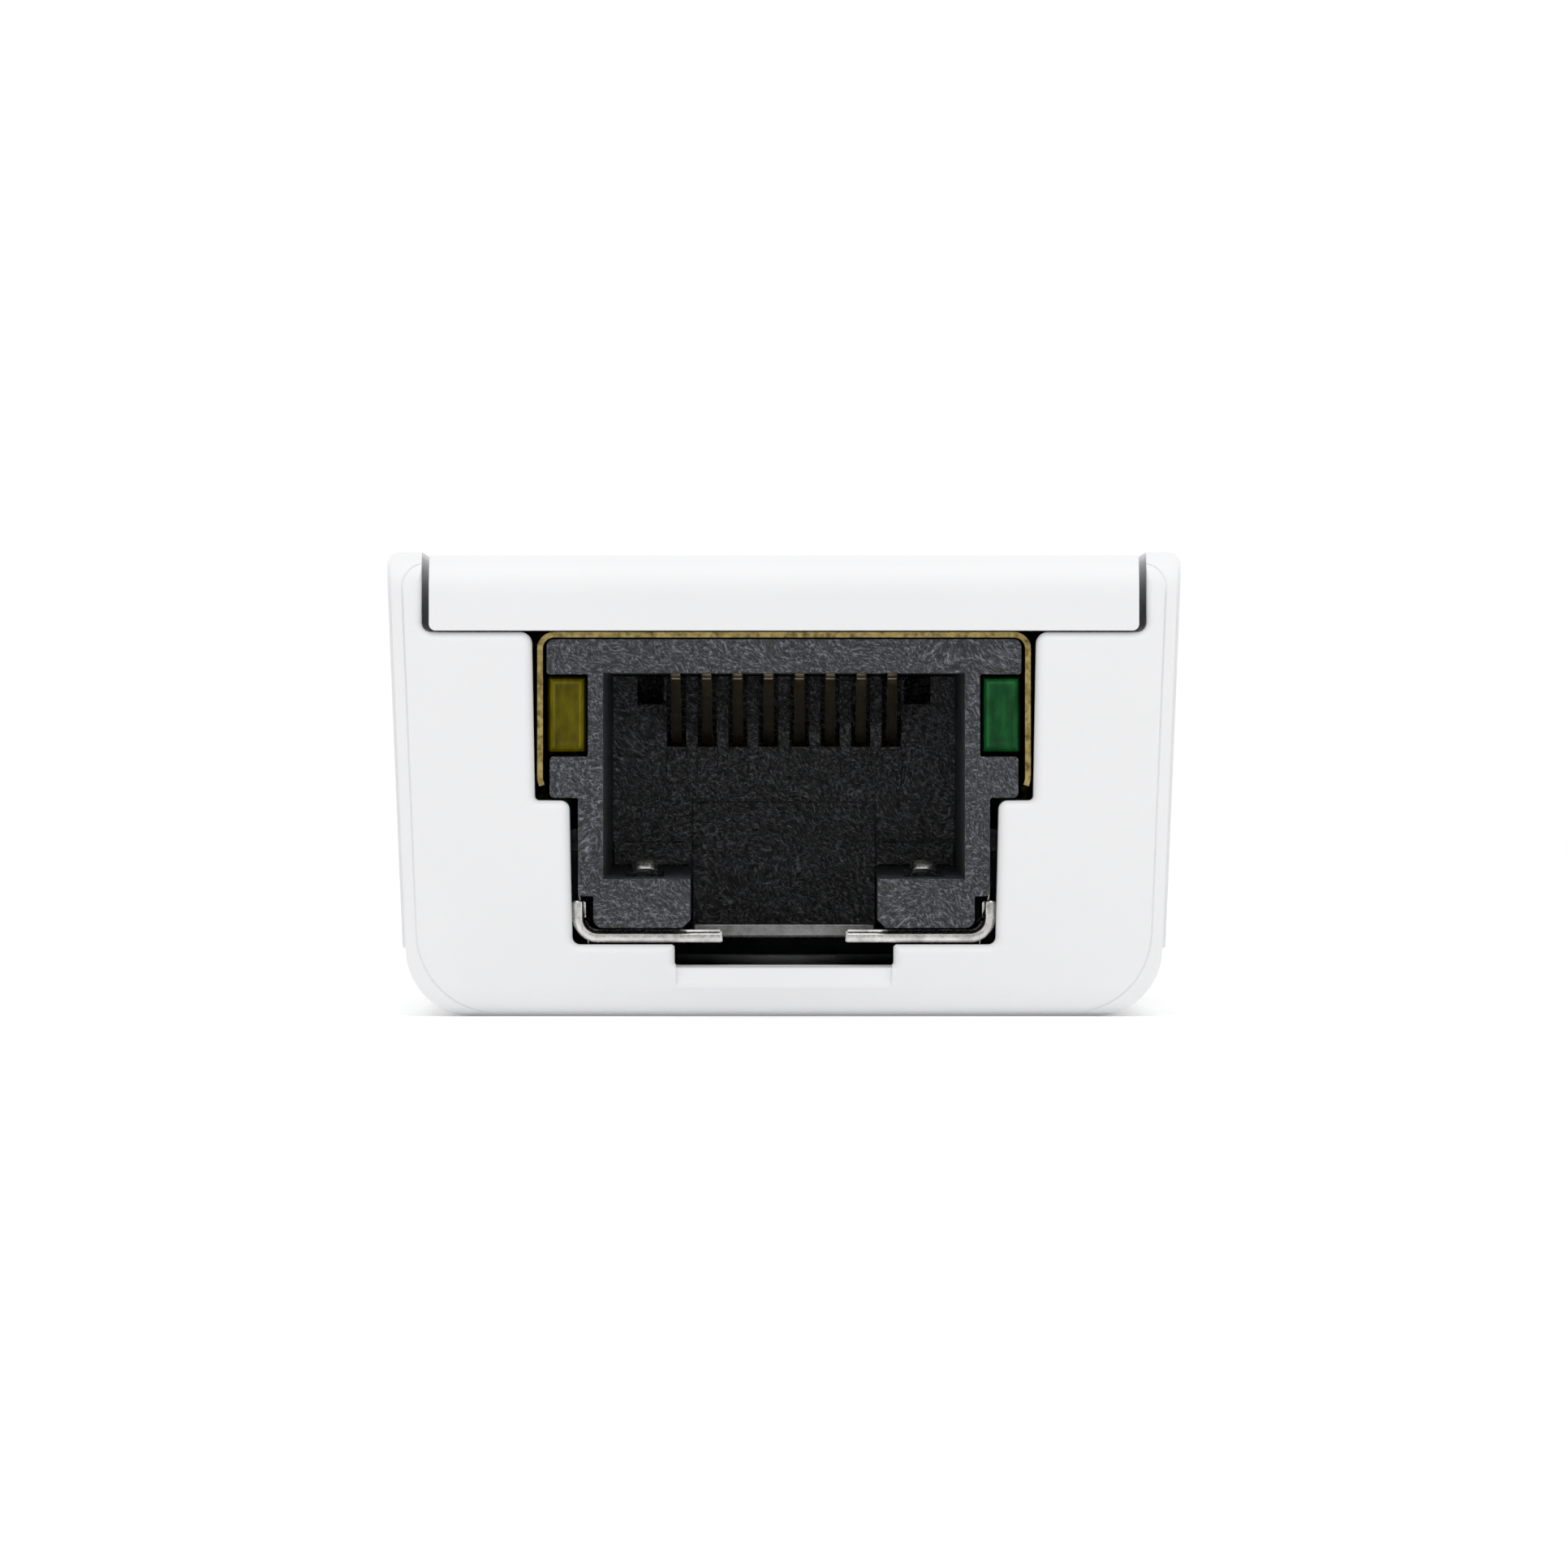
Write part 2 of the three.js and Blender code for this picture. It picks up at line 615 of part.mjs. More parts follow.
function ledLens(side) {
  const inset = 0.16;
  const outline = new THREE.Shape([
    new THREE.Vector2(LED.inner + inset, LED.low + inset),
    new THREE.Vector2(LED.outer - inset, LED.low + inset),
    new THREE.Vector2(LED.outer - inset, LED.high - inset),
    new THREE.Vector2(LED.inner + inset, LED.high - inset),
  ]);
  const geometry = new THREE.ExtrudeGeometry(outline, {
    depth: LED.length - 2 * inset,
    bevelThickness: inset,
    bevelSize: inset,
    bevelSegments: 1,
  });
  geometry.rotateX(Math.PI / 2).translate(0, atDepth(LED.front + LED.length - inset), 0);
  return side > 0 ? geometry : geometry.translate(-2 * LED_X, 0, 0);
}

for (const [colour, side, lens] of [
  ["yellow", -1, MATERIALS.yellowLens],
  ["green", 1, MATERIALS.greenLens],
]) {
  addMesh(`${colour}_led`, ledLens(side), lens);
  for (const lead of LED_LEADS) {
    const line = rounded([
      [atDepth(LED.front + LED.length + 0.03), lead.z],
      [atDepth(lead.drop), lead.z, 0.5],
      [atDepth(lead.drop), TAIL_LOW],
    ], false, 4);
    const wire = alongX(ribbon(line, 0.3), side * LED_X - 0.2, side * LED_X + 0.2);
    addSolid(`${colour}_led_lead_${lead.label}`, wire, MATERIALS.tinnedWire);
  }
}

// ---------------------------------------------------------------- circuit board

function mainBoard() {
  const { halfWidth, cutHalf } = BOARD;
  const [front, cutEnd, rear] = [BOARD.front, BOARD.cutEnd, BOARD.rear].map(atDepth);
  const outline = rounded([
    [cutHalf, front, 0.2],
    [halfWidth, front, 0.4],
    [halfWidth, rear, 0.6],
    [-halfWidth, rear, 0.6],
    [-halfWidth, front, 0.4],
    [-cutHalf, front, 0.2],
    [-cutHalf, cutEnd, 0.4],
    [cutHalf, cutEnd, 0.4],
  ], true, 3);
  const low = BOARD.bottom - 1;
  const high = BOARD.top + 1;
  const contactHoles = Array.from({ length: CONTACT.count }, (_, i) =>
    post(contactX(i), atDepth(TAIL_DEPTHS[i % 2]), 0.3, low, high, 8),
  );
  const leadHoles = TAIL_DEPTHS.flatMap((depth) => [
    post(LED_X, atDepth(depth), 0.36, low, high, 8),
    post(-LED_X, atDepth(depth), 0.36, low, high, 8),
  ]);
  const shieldSlots = pair([7.62, 8.2], depths(SHIELD_LEG.depth - 0.9, SHIELD_LEG.depth + 0.9), [low, high]);
  return cut(alongZ(outline, BOARD.bottom, BOARD.top), [...contactHoles, ...leadHoles, ...shieldSlots]);
}

addSolid("main_board", mainBoard(), MATERIALS.boardGreen);

// A moulded package with gull-wing leads on its two long sides, standing on the board.
function leadedChip({ x, depth, width, length, height, perSide, pitch, leadWidth, reach }) {
  const y = atDepth(depth);
  const foot = BOARD.top + 0.02;
  const sheet = 0.15;
  const body = block(
    [x - width / 2, x + width / 2],
    [y - length / 2, y + length / 2],
    [foot + 0.12, foot + height],
  );
  const leads = Array.from({ length: perSide }, (_, i) => x + (i - (perSide - 1) / 2) * pitch).flatMap((at) =>
    [1, -1].map((side) => {
      const line = [
        [length / 2 - 0.1, foot + height * 0.45],
        [length / 2 + reach * 0.35, foot + height * 0.45],
        [length / 2 + reach * 0.5, foot + sheet / 2],
        [length / 2 + reach, foot + sheet / 2],
      ].map(([out, z]) => new THREE.Vector2(y + side * out, z));
      return alongX(ribbon(line, sheet), at - leadWidth / 2, at + leadWidth / 2);
    }),
  );
  return joined([body, ...leads]);
}

// A chip part with a plated cap at each end, lying along X.
function cappedChip({ x, depth, length, width, height }) {
  const y = atDepth(depth);
  const foot = BOARD.top + 0.02;
  const cap = length * 0.2;
  const rim = 0.04;
  const body = block(
    [x - length / 2 + cap / 2, x + length / 2 - cap / 2],
    [y - width / 2 + rim, y + width / 2 - rim],
    [foot + rim, foot + height - rim],
  );
  const caps = [x - length / 2 + cap / 2, x + length / 2 - cap / 2].map((middle) =>
    block([middle - cap / 2, middle + cap / 2], [y - width / 2, y + width / 2], [foot, foot + height]),
  );
  return joined([body, ...caps]);
}

// A flat leadless package with a dimple at its first pin.
function flatChip({ x, depth, side, height }) {
  const y = atDepth(depth);
  const foot = BOARD.top + 0.02;
  const body = block([x - side / 2, x + side / 2], [y - side / 2, y + side / 2], [foot, foot + height]);
  const mark = post(x - side * 0.38, y - side * 0.38, side * 0.05, foot + height - 0.1, foot + height + 1);
  return body.subtract(mark);
}

// A low can or moulded block with rounded upright edges.
function roundedBlock({ x, depth, width, length, height, radius }) {
  const y = atDepth(depth);
  const foot = BOARD.top + 0.02;
  const outline = rounded([
    [x - width / 2, y - length / 2, radius],
    [x + width / 2, y - length / 2, radius],
    [x + width / 2, y + length / 2, radius],
    [x - width / 2, y + length / 2, radius],
  ]);
  return alongZ(outline, foot, foot + height);
}

const LEADED_SIZES = {
  small: { width: 2.9, length: 1.6, height: 1.1, perSide: 3, pitch: 0.95, leadWidth: 0.38, reach: 0.6 },
  eight: { width: 4.9, length: 3.9, height: 1.45, perSide: 4, pitch: 1.27, leadWidth: 0.41, reach: 1 },
  magnetics: { width: 15.1, length: 7.1, height: 4.4, perSide: 12, pitch: 1.02, leadWidth: 0.42, reach: 1.3 },
};
const CRYSTAL_SIZE = { width: 2.5, length: 3.2, height: 0.75, radius: 0.3 };
const INDUCTOR_SIZE = { width: 4, length: 4, height: 2, radius: 0.6 };
const LARGE_CHIP = { length: 3.2, width: 1.6 };
const { chipBlack, ceramicTan, resistorBlack, tinnedWire, ferriteGrey } = MATERIALS;
const CHIPS = [
  ["lan_transformer", leadedChip, chipBlack, { x: 0, depth: 24.8, ...LEADED_SIZES.magnetics }],
  ["ethernet_controller", flatChip, chipBlack, { x: 1.2, depth: 38.4, side: 8, height: 0.85 }],
  ["eeprom_chip", leadedChip, chipBlack, { x: -7, depth: 39.6, ...LEADED_SIZES.eight }],
  ["voltage_regulator", leadedChip, chipBlack, { x: -6.6, depth: 49.4, ...LEADED_SIZES.small }],
  ["esd_protector", leadedChip, chipBlack, { x: 2.6, depth: 54.6, ...LEADED_SIZES.small }],
  ["clock_crystal", roundedBlock, tinnedWire, { x: 8, depth: 37.6, ...CRYSTAL_SIZE }],
  ["power_inductor", roundedBlock, ferriteGrey, { x: -1.6, depth: 49.6, ...INDUCTOR_SIZE }],
  ["input_capacitor", cappedChip, ceramicTan, { x: 3.9, depth: 49.4, ...LARGE_CHIP, height: 1.3 }],
  ["output_capacitor", cappedChip, ceramicTan, { x: -6.6, depth: 53.2, ...LARGE_CHIP, height: 1.3 }],
  ["isolation_capacitor", cappedChip, ceramicTan, { x: 0, depth: 31.6, length: 4.5, width: 2, height: 1.6 }],
  ["resettable_fuse", cappedChip, resistorBlack, { x: 7.2, depth: 54.4, ...LARGE_CHIP, height: 0.8 }],
];
for (const [name, make, materialUsed, sizes] of CHIPS) addSolid(name, make(sizes), materialUsed);

// Four termination resistors lie in a row behind the transformer.
// Four small capacitors lie behind the controller.
for (let i = 0; i < 4; i += 1) {
  const resistor = { x: [-7.2, -4.6, 4.6, 7.2][i], depth: 31.6, length: 1.6, width: 0.8, height: 0.45 };
  addSolid(`termination_resistor_${i + 1}`, cappedChip(resistor), MATERIALS.resistorBlack);
  const capacitor = { x: [-1.6, 1.2, 4.0, 6.8][i], depth: 44.6, length: 1.6, width: 0.8, height: 0.8 };
  addSolid(`decoupling_capacitor_${i + 1}`, cappedChip(capacitor), MATERIALS.ceramicTan);
}

export default adapter;
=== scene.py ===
import json
import math

import bmesh
import bpy
from mathutils import Matrix, Vector


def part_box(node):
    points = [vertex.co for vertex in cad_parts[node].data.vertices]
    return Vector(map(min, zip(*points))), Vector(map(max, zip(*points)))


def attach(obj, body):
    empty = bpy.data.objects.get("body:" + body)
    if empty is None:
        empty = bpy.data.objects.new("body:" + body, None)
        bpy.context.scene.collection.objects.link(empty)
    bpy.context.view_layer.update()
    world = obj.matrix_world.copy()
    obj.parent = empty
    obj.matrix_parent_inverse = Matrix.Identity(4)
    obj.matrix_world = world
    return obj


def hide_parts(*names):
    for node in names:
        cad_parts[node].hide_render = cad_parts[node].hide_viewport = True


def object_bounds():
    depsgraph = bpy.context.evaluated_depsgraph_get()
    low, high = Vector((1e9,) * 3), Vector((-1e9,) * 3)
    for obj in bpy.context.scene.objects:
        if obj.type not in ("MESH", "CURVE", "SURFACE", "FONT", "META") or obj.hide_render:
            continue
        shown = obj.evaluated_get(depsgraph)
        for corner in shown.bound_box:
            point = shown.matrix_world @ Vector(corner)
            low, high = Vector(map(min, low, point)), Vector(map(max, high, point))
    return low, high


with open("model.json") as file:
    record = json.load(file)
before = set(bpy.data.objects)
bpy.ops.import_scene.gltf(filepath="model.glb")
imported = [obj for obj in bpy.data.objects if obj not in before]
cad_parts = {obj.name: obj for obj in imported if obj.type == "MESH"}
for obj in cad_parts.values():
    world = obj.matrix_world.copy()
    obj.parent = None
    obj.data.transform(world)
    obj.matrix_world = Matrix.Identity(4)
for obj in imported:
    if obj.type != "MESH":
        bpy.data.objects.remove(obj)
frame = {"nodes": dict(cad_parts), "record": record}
CAD_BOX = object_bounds()

# ---------------------------------------------------------------- sizes, in millimetres

MM = 0.001


def node_box(node):
    """Lowest and highest corner of a CAD node, in millimetres."""
    low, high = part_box(node)
    return Vector(low) / MM, Vector(high) / MM


TRAY_LOW, TRAY_HIGH = node_box("bottom_tray")
COVER_HIGH = node_box("top_cover")[1]
GLAND_LOW, GLAND_HIGH = node_box("cable_gland")
BOARD_LOW, BOARD_HIGH = node_box("main_board")
FRONT, REAR = TRAY_LOW.y, TRAY_HIGH.y
RAIL_TOP = TRAY_HIGH.z
COVER_TOP = COVER_HIGH.z
COVER_HALF = COVER_HIGH.x
COVER_UNDER = 12.54
SEAT = 12.5  # where the cover sits on the tray's front and rear walls
SEAT_HALF = COVER_HALF + 0.24
GRIP_PROUD = 0.1
DRAFT = 0.0413  # the side walls lean out by this much per millimetre of height
BASE_HALF = TRAY_HIGH.x - GRIP_PROUD - DRAFT * RAIL_TOP
WALL = 1.5
INNER_HALF = 10.95
GLAND_Z = (GLAND_LOW.z + GLAND_HIGH.z) / 2
PITCH = 1.016
CONTACTS = range(1, 9)


def wall_at(z):
    """Half-width of the case's side wall at height z."""
    return BASE_HALF + DRAFT * z


def at(depth):
    """Y of a depth behind the front face."""
    return FRONT + depth


def contact_x(index):
    return (index - 4.5) * PITCH


# ---------------------------------------------------------------- outlines

def rounded(corners, closed=True, steps=8):
    """Points of an outline whose corners (a, b, radius) are rounded. An open one keeps its two ends."""
    count = len(corners)
    points = []
    for i, corner in enumerate(corners):
        here = Vector(corner[:2])
        radius = corner[2] if len(corner) > 2 else 0
        if not radius or (not closed and i in (0, count - 1)):
            points.append(here)
            continue
        back = (Vector(corners[i - 1][:2]) - here).normalized()
        ahead = (Vector(corners[(i + 1) % count][:2]) - here).normalized()
        half = back.angle(ahead) / 2
        centre = here + (back + ahead).normalized() * radius / math.sin(half)
        start = here + back * radius / math.tan(half) - centre
        end = here + ahead * radius / math.tan(half) - centre
        turn = math.atan2(start.cross(end), start.dot(end))
        points += [centre + Matrix.Rotation(turn * k / steps, 2) @ start for k in range(steps + 1)]
    return points


def grown(corners, amount):
    """The same anticlockwise corners with every side moved out by amount, and their radii to suit."""
    count = len(corners)
    moved = []
    for i, corner in enumerate(corners):
        here = Vector(corner[:2])
        come = (here - Vector(corners[i - 1][:2])).normalized()
        go = (Vector(corners[(i + 1) % count][:2]) - here).normalized()
        out = Vector((come.y + go.y, -come.x - go.x))
        shifted = here + out * amount / (1 + come.dot(go))
        radius = corner[2] if len(corner) > 2 else 0
        if radius:
            radius = max(0.02, radius + math.copysign(amount, come.cross(go)))
        moved.append((shifted.x, shifted.y, radius))
    return moved


def mirrored(half):
    """A right-hand outline (x, z, radius) listed from the bottom up, closed by its mirror image."""
    other = [(-corner[0], *corner[1:]) for corner in reversed(half)]
    return [*half, *other]


def ribbon(line, thickness):
    """A closed band of even thickness along a line of points."""
    sides = ([], [])
    for i, here in enumerate(line):
        first = (here - line[i - 1]).normalized() if i else (line[1] - here).normalized()
        second = (line[i + 1] - here).normalized() if i < len(line) - 1 else first
        along = (first + second).normalized()
        normal = Vector((-along.y, along.x)) * thickness / 2 / max(0.5, along.dot(second))
        sides[0].append(here + normal)
        sides[1].append(here - normal)
    return sides[0] + sides[1][::-1]


# ---------------------------------------------------------------- meshes

def new_piece(name, mesh):
    piece = bpy.data.objects.new(name, mesh)
    bpy.context.scene.collection.objects.link(piece)
    return piece


def lofted(loops, name="part", ring=False):
    """A closed solid through loops of (x, y, z) with the same number of points.

    It is capped at both ends, or where ring is true, its last loop is joined to its first.
    """
    bm = bmesh.new()
    rings = [[bm.verts.new(Vector(point) * MM) for point in loop] for loop in loops]
    count = len(rings[0])
    following = rings[1:] + rings[:1] if ring else rings[1:]
    for low, high in zip(rings, following):
        for i in range(count):
            j = (i + 1) % count
            bm.faces.new((low[i], low[j], high[j], high[i]))
    if not ring:
        bm.faces.new(rings[0][::-1])
        bm.faces.new(rings[-1])
    bmesh.ops.recalc_face_normals(bm, faces=bm.faces)
    mesh = bpy.data.meshes.new(name)
    bm.to_mesh(mesh)
    bm.free()
    return new_piece(name, mesh)


def along_y(points, low, high, name="part"):
    """An outline in X and Z, extruded along Y."""
    return lofted([[(p[0], y, p[1]) for p in points] for y in (low, high)], name)


def along_x(points, low, high, name="part"):
    """An outline in Y and Z, extruded along X."""
    return lofted([[(x, p[0], p[1]) for p in points] for x in (low, high)], name)


def along_z(points, low, high, name="part"):
    """An outline in X and Y, extruded along Z."""
    return lofted([[(p[0], p[1], z) for p in points] for z in (low, high)], name)


def block(x, y, z, name="part"):
    return along_y([(x[0], z[0]), (x[1], z[0]), (x[1], z[1]), (x[0], z[1])], *y, name)


def block_pair(x, y, z):
    """The same block on the right and on the left."""
    return [block(x, y, z), block((-x[1], -x[0]), y, z)]


def turned(profile, centre, name="part", sides=64):
    """A closed profile of (radius, y), turned round an axis along Y."""
    loops = []
    for k in range(sides):
        angle = math.tau * k / sides
        spot = [(centre[0] + r * math.cos(angle), y, centre[1] + r * math.sin(angle)) for r, y in profile]
        loops.append(spot)
    return lofted(loops, name, ring=True)


def rod(x, z, radius, y, name="part", sides=48):
    """A round cutter along Y."""
    ring = []
    for k in range(sides):
        angle = math.tau * k / sides
        ring.append((x + radius * math.cos(angle), z + radius * math.sin(angle)))
    return along_y(ring, *y, name)


def settle(piece):
    """Applies a piece's modifiers to its mesh."""
    graph = bpy.context.evaluated_depsgraph_get()
    graph.update()
    mesh = bpy.data.meshes.new_from_object(piece.evaluated_get(graph))
    piece.modifiers.clear()
    old = piece.data
    piece.data = mesh
    mesh.name = piece.name
    bpy.data.meshes.remove(old)


def combine(piece, operation, others):
    """Cuts, joins or intersects piece with others, and removes them."""
    for other in others:
        step = piece.modifiers.new(operation, "BOOLEAN")
        step.operation = operation
        step.solver = "EXACT"
        step.object = other
    settle(piece)
    for other in others:
        bpy.data.objects.remove(other)
    return piece


def cut(piece, *others):
    return combine(piece, "DIFFERENCE", others)


def join(piece, *others):
    return combine(piece, "UNION", others)


WELD = 0.0004  # vertices closer than this are one, in millimetres
FLAT_ANGLE = math.radians(0.4)  # faces that meet at less than this are one


def dress(piece, name, edge=0.05, segments=2, sharp=32, clamp=True):
    """Cleans a piece's mesh, rounds its sharp edges by edge millimetres and smooths the rest."""
    piece.name = name
    bm = bmesh.new()
    bm.from_mesh(piece.data)
    bmesh.ops.remove_doubles(bm, verts=bm.verts, dist=WELD * MM)
    bmesh.ops.dissolve_limit(bm, angle_limit=FLAT_ANGLE, verts=bm.verts, edges=bm.edges)
    bmesh.ops.dissolve_degenerate(bm, dist=WELD * MM, edges=bm.edges)
    bm.to_mesh(piece.data)
    bm.free()
    if edge:
        bevel = piece.modifiers.new("edges", "BEVEL")
        bevel.width = edge * MM
        bevel.segments = segments
        bevel.limit_method = "ANGLE"
        bevel.angle_limit = math.radians(sharp)
        bevel.use_clamp_overlap = clamp
        settle(piece)
    smooth(piece, sharp)
    return piece


def smooth(piece, sharp=32):
    """Smooth shading that keeps flat faces flat and leaves edges over the sharp angle hard."""
    mesh = piece.data
    for polygon in mesh.polygons:
        polygon.use_smooth = True
    bm = bmesh.new()
    bm.from_mesh(mesh)
    for edge in bm.edges:
        edge.smooth = len(edge.link_faces) == 2 and edge.calc_face_angle(0) < math.radians(sharp)
    bm.to_mesh(mesh)
    bm.free()
    weigh = piece.modifiers.new("normals", "WEIGHTED_NORMAL")
    weigh.keep_sharp = True
    settle(piece)


# ---------------------------------------------------------------- materials

def shader(name):
    """A new material, its node tree, its Principled shader and a helper that adds nodes."""
    material = bpy.data.materials.new(name)
    material.use_nodes = True
    tree = material.node_tree
    main = tree.nodes["Principled BSDF"]

    def add(kind, **values):
        node = tree.nodes.new(kind)
        for key, value in values.items():
            if key in node.inputs:
                node.inputs[key].default_value = value
            else:
                setattr(node, key, value)
        return node

    return material, tree, main, add


def grain(tree, add, scale, detail=3.0, roughness=0.55, stretch=(1, 1, 1)):
    """A noise texture in the object's own space; scale is in grains per metre."""
    spot = add("ShaderNodeTexCoord")
    mapping = add("ShaderNodeMapping")
    mapping.inputs["Scale"].default_value = stretch
    texture = add("ShaderNodeTexNoise", Scale=scale, Detail=detail, Roughness=roughness)
    tree.links.new(spot.outputs["Object"], mapping.inputs["Vector"])
    tree.links.new(mapping.outputs["Vector"], texture.inputs["Vector"])
    return texture


def ramp(tree, add, source, stops):
    """Colours or greys at places along a source from 0 to 1."""
    node = add("ShaderNodeValToRGB")
    elements = node.color_ramp.elements
    while len(elements) < len(stops):
        elements.new(0.5)
    for element, (place, colour) in zip(elements, stops):
        element.position = place
        element.color = (*colour, 1) if len(colour) == 3 else colour
    tree.links.new(source, node.inputs["Fac"])
    return node.outputs["Color"]


def relief(tree, add, main, source, strength, distance):
    """Bump of the given depth in millimetres."""
    bump = add("ShaderNodeBump", Strength=strength, Distance=distance * MM)
    tree.links.new(source, bump.inputs["Height"])
    tree.links.new(bump.outputs["Normal"], main.inputs["Normal"])


def grey(value):
    return (value, value, value)


def moulded_plastic(name, dark, light, rough, texture_mm=0.05, depth_mm=0.004):
    """Fine-textured moulded plastic with a slight unevenness of colour and gloss."""
    material, tree, main, add = shader(name)
    cloud = grain(tree, add, 120, detail=4)
    colour = ramp(tree, add, cloud.outputs["Fac"], [(0.3, dark), (0.7, light)])
    tree.links.new(colour, main.inputs["Base Color"])
    fine = grain(tree, add, 1 / (texture_mm * MM), detail=2)
    tree.links.new(
        ramp(tree, add, fine.outputs["Fac"], [(0.3, grey(rough - 0.05)), (0.7, grey(rough + 0.05))]),
        main.inputs["Roughness"],
    )
    relief(tree, add, main, fine.outputs["Fac"], 0.5, depth_mm)
    main.inputs["Specular IOR Level"].default_value = 0.45
    return material


def fibre_plastic(name, dark, middle, light, speck):
    """Black glass-filled plastic: pale fibres that swirl with the melt's flow, and a few bright ends."""
    swirls_per_metre, swirl_reach = 260.0, 2.8 * MM
    layers_of_fibres = ((0.15, 12000.0), (1.0, 15500.0))  # each layer's turn about Y, and fibres per metre
    fibre_shape = (3.4, 1.2, 1.0)
    ends_per_metre = 19000
    fibre_relief = 0.075  # millimetres
    material, tree, main, add = shader(name)
    spot = add("ShaderNodeTexCoord")
    swirl = add("ShaderNodeTexNoise", Scale=swirls_per_metre, Detail=2.0)
    tree.links.new(spot.outputs["Object"], swirl.inputs["Vector"])
    centred = add("ShaderNodeVectorMath", operation="SUBTRACT")
    centred.inputs[1].default_value = (0.5, 0.5, 0.5)
    tree.links.new(swirl.outputs["Color"], centred.inputs[0])
    strength = add("ShaderNodeVectorMath", operation="SCALE")
    strength.inputs["Scale"].default_value = swirl_reach
    tree.links.new(centred.outputs["Vector"], strength.inputs[0])
    warped = add("ShaderNodeVectorMath", operation="ADD")
    tree.links.new(spot.outputs["Object"], warped.inputs[0])
    tree.links.new(strength.outputs["Vector"], warped.inputs[1])
    layers = []
    for turn, scale in layers_of_fibres:
        mapping = add("ShaderNodeMapping", vector_type="TEXTURE")
        mapping.inputs["Rotation"].default_value = (0.2, turn, 0.3)
        mapping.inputs["Scale"].default_value = fibre_shape
        tree.links.new(warped.outputs["Vector"], mapping.inputs["Vector"])
        layer = add("ShaderNodeTexNoise", Scale=scale, Detail=6.0, Roughness=0.8)
        tree.links.new(mapping.outputs["Vector"], layer.inputs["Vector"])
        layers.append(layer)
    fibres = add("ShaderNodeMath", operation="MAXIMUM")
    for slot, layer in enumerate(layers):
        tree.links.new(layer.outputs["Fac"], fibres.inputs[slot])
    body = ramp(tree, add, fibres.outputs["Value"], [(0.47, dark), (0.55, middle), (0.63, light)])
    ends = grain(tree, add, ends_per_metre, detail=1, stretch=(0.6, 1, 1))
    mask = ramp(tree, add, ends.outputs["Fac"], [(0.74, grey(0)), (0.79, grey(1))])
    blend = add("ShaderNodeMix", data_type="RGBA")
    tree.links.new(mask, blend.inputs["Factor"])
    tree.links.new(body, blend.inputs["A"])
    blend.inputs["B"].default_value = (*speck, 1)
    tree.links.new(blend.outputs["Result"], main.inputs["Base Color"])
    tree.links.new(
        ramp(tree, add, fibres.outputs["Value"], [(0.35, grey(0.62)), (0.75, grey(0.36))]),
        main.inputs["Roughness"],
    )
    relief(tree, add, main, fibres.outputs["Value"], 1.0, fibre_relief)
    return material


def plated_metal(name, dark, light, rough, grain_mm, depth_mm, painted_shade_from=None):
    """Plated or sheared metal with fine pits and worn patches, and painted shade that darkens its colour
    behind a depth if one is given.
    """
    painted_shade_over, painted_shade_tint = 0.3, (0.36, 0.36, 0.37, 1)
    material, tree, main, add = shader(name)
    main.inputs["Metallic"].default_value = 1.0
    wear = grain(tree, add, 1 / (grain_mm * 4 * MM), detail=5, roughness=0.65)
    colour = ramp(tree, add, wear.outputs["Fac"], [(0.34, dark), (0.6, light)])
    # painted shade: the colour is multiplied darker past a given depth behind the front face, where the
    # socket lies in shadow
    if painted_shade_from is not None:
        spot = add("ShaderNodeTexCoord")
        parts = add("ShaderNodeSeparateXYZ")
        tree.links.new(spot.outputs["Object"], parts.inputs["Vector"])
        painted_shade_ramp = add("ShaderNodeMapRange")
        painted_shade_ramp.inputs["From Min"].default_value = at(painted_shade_from) * MM
        painted_shade_ramp.inputs["From Max"].default_value = at(painted_shade_from + painted_shade_over) * MM
        tree.links.new(parts.outputs["Y"], painted_shade_ramp.inputs["Value"])
        painted_shade_mix = add("ShaderNodeMix", data_type="RGBA", blend_type="MULTIPLY")
        painted_shade_mix.inputs["B"].default_value = painted_shade_tint
        tree.links.new(painted_shade_ramp.outputs["Result"], painted_shade_mix.inputs["Factor"])
        tree.links.new(colour, painted_shade_mix.inputs["A"])
        colour = painted_shade_mix.outputs["Result"]
    tree.links.new(colour, main.inputs["Base Color"])
    fine = grain(tree, add, 1 / (grain_mm * MM), detail=3)
    tree.links.new(
        ramp(tree, add, fine.outputs["Fac"], [(0.3, grey(rough - 0.08)), (0.7, grey(rough + 0.12))]),
        main.inputs["Roughness"],
    )
    relief(tree, add, main, fine.outputs["Fac"], 0.6, depth_mm)
    return material


